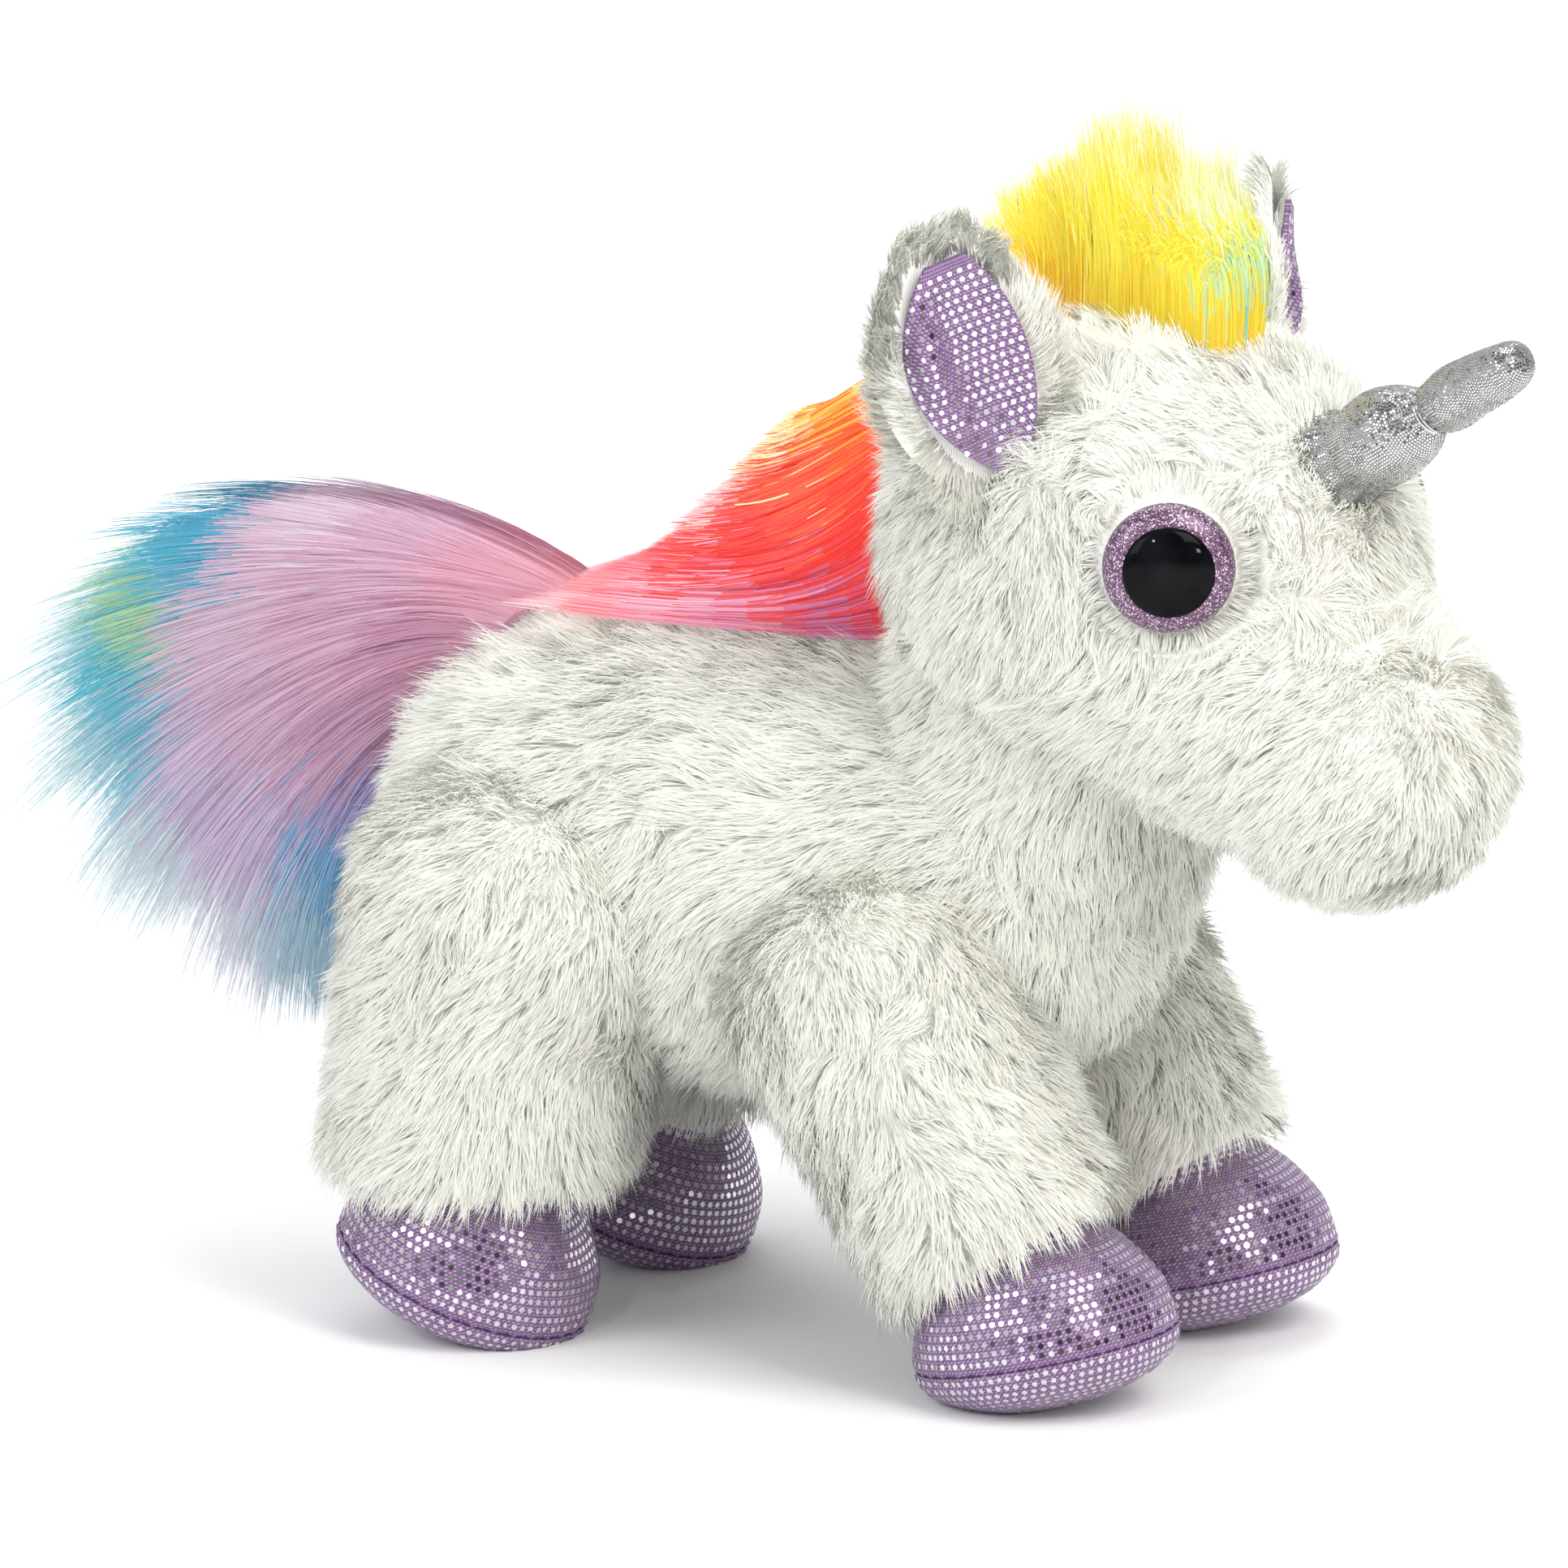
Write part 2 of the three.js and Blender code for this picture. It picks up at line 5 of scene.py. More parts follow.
import bmesh
import bpy
import numpy as np
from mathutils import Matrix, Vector


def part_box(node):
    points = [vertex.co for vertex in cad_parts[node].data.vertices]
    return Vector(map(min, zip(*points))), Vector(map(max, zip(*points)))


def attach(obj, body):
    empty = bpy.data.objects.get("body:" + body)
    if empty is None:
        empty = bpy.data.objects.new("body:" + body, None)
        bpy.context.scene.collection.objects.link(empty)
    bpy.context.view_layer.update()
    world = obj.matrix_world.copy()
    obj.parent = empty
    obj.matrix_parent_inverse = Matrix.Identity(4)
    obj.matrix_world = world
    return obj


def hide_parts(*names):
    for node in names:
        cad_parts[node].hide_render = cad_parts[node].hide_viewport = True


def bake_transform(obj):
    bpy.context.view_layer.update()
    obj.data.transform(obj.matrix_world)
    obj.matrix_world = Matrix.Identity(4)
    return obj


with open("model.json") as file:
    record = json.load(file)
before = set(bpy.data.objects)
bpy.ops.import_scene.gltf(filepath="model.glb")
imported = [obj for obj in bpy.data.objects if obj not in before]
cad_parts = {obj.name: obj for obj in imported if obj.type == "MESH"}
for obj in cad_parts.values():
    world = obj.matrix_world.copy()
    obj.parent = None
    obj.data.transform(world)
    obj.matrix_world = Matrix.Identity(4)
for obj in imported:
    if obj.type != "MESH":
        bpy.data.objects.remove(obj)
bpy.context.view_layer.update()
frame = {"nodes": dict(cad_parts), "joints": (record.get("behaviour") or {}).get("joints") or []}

# ------------------------------------------------------------------ the shared frame
# Shapes are worked out in millimetres as (lateral, forward, up).
# Forward is where the animal walks, and +lateral is its left.

MM = 0.001
JOINTS = {j["name"]: j for j in frame["joints"]}
BASE_FORWARD = 33.0  # the neck's pivot, forward of the drawing's zero
SHIFT = JOINTS["head_turn"]["pos_m"][1] / MM + BASE_FORWARD


def row(points):
    """Drawing coordinates to the row frame, in metres."""
    p = np.asarray(points, float)
    return np.stack([p[..., 0], -p[..., 1] + SHIFT, p[..., 2]], -1) * MM


def drawing(points):
    """The row frame, in metres, to drawing coordinates."""
    p = np.asarray(points, float) / MM
    return np.stack([p[..., 0], -(p[..., 1] - SHIFT), p[..., 2]], -1)


def pivot(joint):
    return drawing(JOINTS[joint]["pos_m"])


def direction(vector):
    """A row-frame direction in drawing coordinates."""
    v = np.asarray(vector, float)
    return np.array([v[0], -v[1], v[2]])


def unit(v):
    v = np.asarray(v, float)
    return v / np.maximum(np.linalg.norm(v, axis=-1, keepdims=True), 1e-9)


def node_box(*names):
    lows, highs = zip(*[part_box(n) for n in names])
    low, high = np.min(np.array(lows), 0), np.max(np.array(highs), 0)
    a, b = drawing(low), drawing(high)
    return np.minimum(a, b), np.maximum(a, b)


def smooth(low, high, x):
    t = np.clip((np.asarray(x, float) - low) / (high - low), 0, 1)
    return t * t * (3 - 2 * t)


SIDES = ("left", "right")
SIGN = {"left": 1, "right": -1}


# ------------------------------------------------------------------ repeatable variation

def cell_hash(cells, salt):
    """One number from 0 to 1 for each integer cell."""
    c = cells.astype(np.int64)
    h = c[..., 0] * 73856093 ^ c[..., 1] * 19349663 ^ c[..., 2] * 83492791 ^ salt * 2654435761
    h = (h ^ (h >> 13)) * 1274126177
    h = h ^ (h >> 16)
    return (h & 0xFFFFF) / float(0x100000)


WAVES = 6


def ripple(points, scale, salt):
    """A smooth field of 3 numbers, each within about -1 and 1, that changes over a length of scale."""
    rng = np.random.default_rng(salt)
    total = np.zeros(np.shape(points))
    for _ in range(WAVES):
        wave = rng.normal(size=(3, 3)) / scale
        phase = rng.uniform(0, 2 * math.pi, 3)
        total += np.sin(np.asarray(points) @ wave + phase)
    return total / 3


def nearest_clump(points, size, salt):
    """For each point, the middle of its clump and a number for that clump."""
    base = np.floor(points / size)
    best = np.full(len(points), 1e9)
    centre = np.zeros_like(points)
    chance = np.zeros(len(points))
    for step in itertools.product((-1, 0, 1), repeat=3):
        cell = base + step
        jitter = np.stack([cell_hash(cell, salt + k) for k in (1, 2, 3)], -1)
        middle = (cell + jitter) * size
        away = ((points - middle) ** 2).sum(-1)
        closer = away < best
        best = np.where(closer, away, best)
        centre[closer] = middle[closer]
        chance[closer] = cell_hash(cell, salt + 4)[closer]
    return centre, chance


# ------------------------------------------------------------------ materials

def new_material(name, colour, roughness=0.8, metallic=0.0):
    m = bpy.data.materials.new(name)
    m.use_nodes = True
    p = m.node_tree.nodes["Principled BSDF"]
    p.inputs["Base Color"].default_value = (*colour, 1)
    p.inputs["Roughness"].default_value = roughness
    p.inputs["Metallic"].default_value = metallic
    m.diffuse_color = (*colour, 1)
    return m, p, m.node_tree


def add_node(tree, kind, **values):
    n = tree.nodes.new(kind)
    for key, value in values.items():
        if hasattr(n, key):
            setattr(n, key, value)
        else:
            n.inputs[key].default_value = value
    return n


def ramp(tree, source, *stops):
    n = tree.nodes.new("ShaderNodeValToRGB")
    while len(n.color_ramp.elements) < len(stops):
        n.color_ramp.elements.new(0.5)
    for element, (at, colour) in zip(n.color_ramp.elements, stops):
        element.position = at
        element.color = (*colour, 1)
    tree.links.new(source, n.inputs[0])
    return n.outputs[0]


def bump(tree, height, strength, distance, p):
    n = tree.nodes.new("ShaderNodeBump")
    n.inputs["Strength"].default_value = strength
    n.inputs["Distance"].default_value = distance
    tree.links.new(height, n.inputs["Height"])
    tree.links.new(n.outputs[0], p.inputs["Normal"])


def object_coordinates(tree):
    c = tree.nodes.new("ShaderNodeTexCoord")
    m = tree.nodes.new("ShaderNodeMapping")
    tree.links.new(c.outputs["Object"], m.inputs[0])
    return m.outputs[0]


def texture(tree, kind, at=None, **values):
    """A texture node over the object's own coordinates, or over the place that at gives."""
    n = add_node(tree, f"ShaderNodeTex{kind}", **values)
    tree.links.new(object_coordinates(tree) if at is None else at, n.inputs["Vector"])
    return n


def between(tree, source, low, high):
    """A source from 0 to 1, carried over to the span from low to high."""
    n = add_node(tree, "ShaderNodeMapRange", **{"To Min": low, "To Max": high})
    tree.links.new(source, n.inputs["Value"])
    return n.outputs[0]


def product(tree, a, b, plus=None):
    """a times b, with plus added if it is given. b may be a plain number."""
    n = add_node(tree, "ShaderNodeMath", operation="MULTIPLY" if plus is None else "MULTIPLY_ADD")
    for socket, value in zip(n.inputs, (a, b, plus)):
        if isinstance(value, float):
            socket.default_value = value
        elif value is not None:
            tree.links.new(value, socket)
    return n.outputs[0]


def tint(tree, p, source, *stops):
    """Colours the surface by the value of source."""
    tree.links.new(ramp(tree, source, *stops), p.inputs["Base Color"])


def fibre_material(name, colour, roughness, sheen, specular=0.2):
    """For strands: their colour varies by slot from one to the next, and noise varies the sheen along them."""
    m, p, tree = new_material(name, colour, roughness)
    p.inputs["Specular IOR Level"].default_value = specular
    p.inputs["Sheen Roughness"].default_value = 0.5
    noise = texture(tree, "Noise", Scale=160.0).outputs["Fac"]
    tree.links.new(between(tree, noise, sheen * 0.5, sheen * 1.5), p.inputs["Sheen Weight"])
    return m


def knit_material(name, dark, light, scale, depth=0.00025):
    """Backing cloth and stuffing: fine noise over a woven wave."""
    m, p, tree = new_material(name, light, 0.9)
    weave = texture(tree, "Wave", Scale=scale, Distortion=3.0).outputs["Fac"]
    grain = texture(tree, "Noise", Scale=scale * 1.5, Detail=6.0).outputs["Fac"]
    both = product(tree, weave, grain)
    tint(tree, p, both, (0.05, dark), (0.5, light))
    bump(tree, both, 0.6, depth, p)
    return m


# The whites are darker than the cloth's own white: painted shade, standing in for the shadows that many of the
# strands don't cast.
PILE_COLOURS = [(0.77, 0.77, 0.715), (0.745, 0.745, 0.69), (0.80, 0.80, 0.75), (0.715, 0.715, 0.665)]
PILE_SHARES = [0.46, 0.27, 0.17, 0.10]
FUR_WHITES = [fibre_material(f"plush_pile_{i}", colour, 0.8, 0.12) for i, colour in enumerate(PILE_COLOURS)]
PLUSH_BACK = knit_material("plush_backing", (0.88, 0.88, 0.85), (0.94, 0.94, 0.90), 900.0)
STUFFING = knit_material("polyester_stuffing", (0.70, 0.70, 0.69), (0.93, 0.93, 0.92), 350.0, 0.001)
WEBBING = knit_material("hair_backing_tape", (0.66, 0.50, 0.56), (0.88, 0.74, 0.79), 1500.0)
WASHER_PLASTIC = knit_material("white_moulded_plastic", (0.72, 0.72, 0.70), (0.80, 0.80, 0.78), 300.0, 0.00002)


def satin_material():
    """Purple knit cloth: fine diagonal ribs with a soft shine."""
    m, p, tree = new_material("purple_satin", (0.22, 0.125, 0.27), 0.5)
    uv = tree.nodes.new("ShaderNodeUVMap").outputs[0]
    ribs = texture(tree, "Wave", uv, Scale=620.0, Distortion=0.6, bands_direction="DIAGONAL")
    cross = texture(tree, "Wave", uv, Scale=480.0, Distortion=0.6, bands_direction="Y")
    broad = texture(tree, "Noise", uv, Scale=220.0, Detail=4.0)
    weave = product(tree, ribs.outputs["Fac"], cross.outputs["Fac"])
    mixed = product(tree, broad.outputs["Fac"], 0.5, weave)
    tint(tree, p, mixed, (0.15, (0.12, 0.06, 0.15)), (0.6, (0.23, 0.13, 0.28)), (1.0, (0.42, 0.31, 0.47)))
    p.inputs["Sheen Weight"].default_value = 0.2
    p.inputs["Sheen Roughness"].default_value = 0.35
    p.inputs["Sheen Tint"].default_value = (0.85, 0.74, 0.90, 1)
    bump(tree, weave, 0.5, 0.00008, p)
    return m


def foil_material(name, colour, roughness):
    m, p, tree = new_material(name, colour, roughness, 1.0)
    noise = texture(tree, "Noise", Scale=900.0).outputs["Fac"]
    tree.links.new(between(tree, noise, 0.0, 0.3), p.inputs["Coat Weight"])
    return m


SATIN = satin_material()
FOIL = foil_material("silver_foil_dot", (0.70, 0.69, 0.72), 0.18)
THREAD = knit_material("dark_purple_thread", (0.03, 0.012, 0.05), (0.10, 0.04, 0.15), 4000.0, 0.00005)


def lame_material():
    """Silver cloth of hexagonal mesh: foil cells between grey threads, with the shade and highlights of small
    folds painted into the colour by a broad noise.
    """
    m, p, tree = new_material("silver_mesh_lame", (0.45, 0.46, 0.47), 0.45, 0.35)
    uv = tree.nodes.new("ShaderNodeUVMap").outputs[0]
    cells = texture(tree, "Voronoi", uv, Scale=1750.0, Randomness=0.12, feature="DISTANCE_TO_EDGE")
    # broad noise: painted shade and painted highlight of small folds, as darker and lighter patches in the
    # metal's colour
    fold_shade = texture(tree, "Noise", uv, Scale=300.0, Detail=3.0)
    edge = cells.outputs["Distance"]
    tone = product(tree, fold_shade.outputs["Fac"], 0.6, edge)
    tint(tree, p, tone, (0.25, (0.10, 0.10, 0.105)), (0.40, (0.20, 0.20, 0.205)), (0.62, (0.36, 0.36, 0.365)))
    rough = ramp(tree, edge, (0.04, (0.55, 0.55, 0.55)), (0.16, (0.12, 0.12, 0.12)))
    tree.links.new(rough, p.inputs["Roughness"])
    bump(tree, edge, 0.9, 0.0002, p)
    return m


LAME = lame_material()


def glitter_material():
    """Flakes of many tones; the few bright ones are painted glints."""
    m, p, tree = new_material("mauve_glitter", (0.14, 0.06, 0.13), 0.35, 0.35)
    flakes = texture(tree, "Voronoi", Scale=4200.0)
    split = tree.nodes.new("ShaderNodeSeparateColor")
    tree.links.new(flakes.outputs["Color"], split.inputs[0])
    # the last, near-white tone is a painted glint on a few flakes
    tones = [(0.06, 0.022, 0.055), (0.14, 0.06, 0.13), (0.28, 0.16, 0.28), (0.85, 0.75, 0.9)]
    tint(tree, p, split.outputs[0], *zip((0.0, 0.55, 0.82, 0.95), tones))
    bump(tree, split.outputs[1], 1.0, 0.0002, p)
    p.inputs["Coat Weight"].default_value = 0.35
    p.inputs["Coat Roughness"].default_value = 0.08
    return m


def mottled_material(name, colour, roughness, scale, *stops, **values):
    """One colour that wanders a little."""
    m, p, tree = new_material(name, colour, roughness)
    tint(tree, p, texture(tree, "Noise", Scale=scale, **values).outputs["Fac"], *stops)
    return m, p


GLITTER = glitter_material()
PUPIL, pupil_shader = mottled_material(
    "glossy_black_plastic", (0.004, 0.004, 0.005), 0.04, 120.0,
    (0.4, (0.003, 0.003, 0.004)), (0.7, (0.008, 0.007, 0.009)),
)
pupil_shader.inputs["Specular IOR Level"].default_value = 0.07
BEADS, _ = mottled_material(
    "plastic_pellets", (0.8, 0.8, 0.78), 0.35, 500.0, (0.35, (0.62, 0.62, 0.60)), (0.65, (0.86, 0.86, 0.84)),
)

# ------------------------------------------------------------------ mesh building


def build(name, points, faces, materials, uv=None, index=None, normals=None):
    """A mesh object from row-frame points in metres. faces is a list of (n, k) arrays of vertex numbers."""
    mesh = bpy.data.meshes.new(name)
    points = np.asarray(points, np.float32)
    mesh.vertices.add(len(points))
    mesh.vertices.foreach_set("co", points.ravel())
    loops = np.concatenate([f.ravel() for f in faces]).astype(np.int32)
    sizes = np.concatenate([np.full(len(f), f.shape[1]) for f in faces])
    starts = np.concatenate([[0], np.cumsum(sizes)[:-1]]).astype(np.int32)
    mesh.loops.add(len(loops))
    mesh.loops.foreach_set("vertex_index", loops)
    mesh.polygons.add(len(sizes))
    mesh.polygons.foreach_set("loop_start", starts)
    for m in materials:
        mesh.materials.append(m)
    if index is not None:
        mesh.polygons.foreach_set("material_index", np.asarray(index, np.int32))
    mesh.polygons.foreach_set("use_smooth", np.full(len(sizes), True))
    if uv is not None:
        layer = mesh.uv_layers.new(name="UVMap")
        layer.data.foreach_set("uv", np.asarray(uv, np.float32)[loops].ravel())
    mesh.update(calc_edges=True)
    if normals is not None:
        mesh.normals_split_custom_set_from_vertices(np.asarray(normals, np.float32))
    obj = bpy.data.objects.new(name, mesh)
    bpy.context.scene.collection.objects.link(obj)
    return obj


def grid_faces(rows, columns, wrap):
    """Quads over a grid of points, closed round its columns if wrap."""
    i = np.arange(rows - 1)[:, None] * columns
    last = columns if wrap else columns - 1
    j = np.arange(last)[None, :]
    k = (j + 1) % columns
    return np.stack([i + j, i + k, i + columns + k, i + columns + j], -1).reshape(-1, 4)


def ribbons(name, paths, half_widths, across, index, materials, slot, facing):
    """Flat tapered strands. paths is (n, k, 3) in drawing millimetres, and the last point is the tip."""
    n, k, _ = paths.shape
    side = across * half_widths[..., None]
    turn = np.array([1.0, -1.0, 1.0])
    middle = k // 2
    along = (paths[:, middle] - paths[:, middle - 1]) * turn
    front = np.cross(along, side[:, middle - 1] * turn)
    agrees = np.sign((front * facing[:, middle] * turn).sum(-1) + 1e-12)
    side = side * agrees[:, None, None]
    left, right = paths[:, :-1] - side[:, :-1], paths[:, :-1] + side[:, :-1]
    body = np.stack([left, right], 2).reshape(n, 2 * (k - 1), 3)
    verts = np.concatenate([body, paths[:, -1:]], 1)
    per = 2 * (k - 1) + 1
    base = (np.arange(n) * per)[:, None]
    step = np.arange(k - 2) * 2
    quads = np.stack([base + step, base + step + 2, base + step + 3, base + step + 1], -1)
    end = 2 * (k - 2)
    tips = np.stack([base[:, 0] + end, base[:, 0] + per - 1, base[:, 0] + end + 1], -1)
    quad_index = index[:, :-1].reshape(-1)
    tip_index = index[:, -1].reshape(-1)
    per_vertex = np.repeat(facing[:, :-1], 2, axis=1)
    normals = (np.concatenate([per_vertex, facing[:, -1:]], 1) * turn).reshape(-1, 3)
    return build(
        name, row(verts.reshape(-1, 3)), [quads.reshape(-1, 4), tips], materials,
        index=np.concatenate([quad_index, tip_index]), normals=normals,
    )


# ------------------------------------------------------------------ soft shapes


def joined(a, b, width):
    """The smaller of two distances, rounded over where they meet."""
    h = np.clip(0.5 + 0.5 * (b - a) / width, 0, 1)
    return b + (a - b) * h - width * h * (1 - h)


def round_cone(p, a, b, ra, rb):
    """Distance to the hull of two balls, near enough for a soft skin."""
    a, b = np.asarray(a, float), np.asarray(b, float)
    ab = b - a
    t = np.clip(((p - a) @ ab) / (ab @ ab), 0, 1)
    return np.linalg.norm(p - a - t[..., None] * ab, axis=-1) - (ra + (rb - ra) * t)


def gradient(shape, p, step=0.4):
    out = np.zeros_like(p)
    for axis in range(3):
        e = np.zeros(3)
        e[axis] = step
        out[..., axis] = shape(p + e) - shape(p - e)
    return unit(out)


TORSO_LOW, TORSO_HIGH = node_box("body_side_left", "body_side_right", "belly_gusset")
TORSO_MID = (TORSO_LOW + TORSO_HIGH) / 2
TORSO_HALF = (TORSO_HIGH - TORSO_LOW) / 2
TORSO_POWER = 2.5


def torso_shape(p):
    q = np.abs((p - TORSO_MID) / TORSO_HALF)
    around = np.sqrt(q[..., 0] ** 2 + q[..., 2] ** 2)
    r = (around ** TORSO_POWER + q[..., 1] ** TORSO_POWER + 1e-9) ** (1 / TORSO_POWER)
    scale = np.linalg.norm(p - TORSO_MID, axis=-1) / np.maximum(r, 1e-6)
    return (r - 1) * scale


NECK = pivot("head_turn")
LEFT_EYE, RIGHT_EYE = [sum(node_box(f"eye_{s}_pupil")) / 2 for s in SIDES]
HEAD_SIDE = unit((LEFT_EYE - RIGHT_EYE) * (1, 1, 0))  # toward the head's own left
HEAD_AHEAD = unit(np.array([-HEAD_SIDE[1], HEAD_SIDE[0], 0]))
UP = np.array([0.0, 0.0, 1.0])


def on_head(lateral, ahead, up):
    """A place given from the neck's pivot along the head's own axes."""
    lateral, ahead, up = (np.asarray(v, float)[..., None] for v in (lateral, ahead, up))
    return NECK + lateral * HEAD_SIDE + ahead * HEAD_AHEAD + up * UP


def in_head(p):
    q = p - NECK
    return np.stack([q @ HEAD_SIDE, q @ HEAD_AHEAD, q[..., 2]], -1)


SKULL = {"middle": (0, 24.5, 45), "half": (43.5, 49, 42)}
BROW = {"middle": (0, 36, 47), "half": (38, 44, 38)}
MUZZLE = {"middle": (0, 77, 12.5), "half": (27, 25.5, 25)}


def egg(q, part, scale=1.0):
    d = (q - np.array(part["middle"])) / (np.array(part["half"]) * scale)
    r = np.linalg.norm(d, axis=-1)
    return (r - 1) * np.linalg.norm(q - np.array(part["middle"]), axis=-1) / np.maximum(r, 1e-6)


def head_shape(p):
    q = in_head(p)
    skull, snout = joined(egg(q, SKULL), egg(q, BROW), 3), egg(q, MUZZLE)
    bridge = round_cone(q, (0, 32, 38), (0, 76, 12.5), 38, 24.6)
    return joined(joined(skull, snout, 10), bridge, 6)


LEG_SHAPES = {
    "front": {"thigh": 26, "cuff": 22, "reach": 60, "share": 0.95, "slant": 31, "edge": 59, "level": 0.04},
    "hind": {"thigh": 31, "cuff": 27, "reach": 60, "share": 0.82, "slant": -11, "edge": 54, "level": 0.22},
}


def leg_axes(name):
    spec = LEG_SHAPES[name.split("_")[0]]
    slant = math.radians(spec["slant"])
    down = np.array([0.0, math.sin(slant), -math.cos(slant)])
    across = np.array([0.0, math.cos(slant), math.sin(slant)])
    return spec, pivot(f"{name}_leg_swing"), down, across


def leg_shape(name, p):
    spec, hip, down, across = leg_axes(name)
    q = p - hip
    along = q @ down
    sideways, deep = q[..., 0] / spec["share"], q @ across
    t = np.clip(along / spec["reach"], 0, 1)
    radius = spec["thigh"] + (spec["cuff"] - spec["thigh"]) * t
    nearest = np.clip(along, 0, 200)
    side_wall = np.sqrt(sideways**2 + deep**2 + (along - nearest) ** 2 * 1.6) - radius
    floor = along + spec["level"] * deep - spec["edge"]
    return -joined(-side_wall, -floor, 7.0)


def neck_shape(p):
    return round_cone(p, NECK + (0, -4, -14), NECK + (0, 8, 14), 33, 33)


SHAPES = {"torso": torso_shape, "head": head_shape, "neck": neck_shape}
LEG_NAMES = ["front_left", "front_right", "hind_left", "hind_right"]
for leg_name in LEG_NAMES:
    SHAPES[leg_name] = lambda p, leg_name=leg_name: leg_shape(leg_name, p)


def directions(rings, sides):
    """Unit directions in rings from pole to pole."""
    polar = np.linspace(0, math.pi, rings)
    around = np.linspace(0, 2 * math.pi, sides, endpoint=False)
    ring = np.sin(polar)[:, None]
    return np.stack([ring * np.cos(around), ring * np.sin(around), np.cos(polar)[:, None] + 0 * around], -1)


HALVINGS = 26


def radial_skin(shape, centre, reach, rings=72, sides=96, offset=0.0, lumps=0.0, salt=1):
    """Points on the surface shape = offset, seen from a centre inside it."""
    d = directions(rings, sides)
    low, high = np.zeros(d.shape[:2]), np.full(d.shape[:2], float(reach))
    for _ in range(HALVINGS):
        middle = (low + high) / 2
        inside = shape(centre + d * middle[..., None]) < offset
        low, high = np.where(inside, middle, low), np.where(inside, high, middle)
    points = centre + d * low[..., None]
    if lumps:
        points = points + d * ripple(points, 9.0, salt)[..., :1] * lumps
    return points


def closed_skin(name, points, material):
    rings, sides, _ = points.shape
    faces = grid_faces(rings, sides, True)
    u = np.broadcast_to(np.arange(sides) / sides, (rings, sides))
    v = np.broadcast_to((np.arange(rings) / rings)[:, None], (rings, sides))
    uv = np.stack([u, v], -1).reshape(-1, 2)
    obj = build(name, row(points.reshape(-1, 3)), [faces], [material], uv=uv)
    weld(obj)
    return obj


def weld(obj, distance=0.00002):
    """Closes the poles and turns every face outward."""
    b = bmesh.new()
    b.from_mesh(obj.data)
    bmesh.ops.remove_doubles(b, verts=b.verts, dist=distance)
    bmesh.ops.dissolve_degenerate(b, edges=b.edges, dist=1e-7)
    bmesh.ops.recalc_face_normals(b, faces=b.faces)
    b.to_mesh(obj.data)
    b.free()


def settle(piece, where, *nodes, fill=None):
    """Fixes a piece to one body, or bakes its place into its mesh and leaves it free: where is a name, or two
    names, a start and an end.

    nodes are the CAD solids it stands for, and fill is not used."""
    if isinstance(where, str):
        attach(piece, where)
    else:
        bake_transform(piece)
    if nodes:
        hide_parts(*nodes)


def plush(name, points, where, *nodes, fill=0.85):
    settle(closed_skin(name, points, PLUSH_BACK), where, *nodes, fill=fill)


def stuffing(name, points, where, *nodes, fill=0.8):
    settle(closed_skin(name, points, STUFFING), where, *nodes, fill=fill)


# ------------------------------------------------------------------ fur

FUR_PER_MM2 = 3.9
FUR_BENDS = 4
PILE = 7.8
PILE_HALF_WIDTH = 0.145
PILE_LEAN = 0.55
STRANDS_PER_PIECE = 39000


def scatter(points, per_area, rng):
    """Random places over a ring-and-side surface, evenly by area."""
    rings, sides, _ = points.shape
    q = grid_faces(rings, sides, True)
    flat = points.reshape(-1, 3)
    tris = np.concatenate([q[:, [0, 1, 2]], q[:, [0, 2, 3]]])
    a, b, c = flat[tris[:, 0]], flat[tris[:, 1]], flat[tris[:, 2]]
    area = np.linalg.norm(np.cross(b - a, c - a), axis=-1) / 2
    count = int(area.sum() * per_area)
    pick = rng.choice(len(tris), size=count, p=area / area.sum())
    s, t = rng.random(count), rng.random(count)
    flip = s + t > 1
    s, t = np.where(flip, 1 - s, s), np.where(flip, 1 - t, t)
    return a[pick] + (b - a)[pick] * s[:, None] + (c - a)[pick] * t[:, None]


def translucent(strands):
    """Real fibres let most of the light through, so these strands leave the shadows to what is under them."""
    strands.visible_shadow = False
    return strands


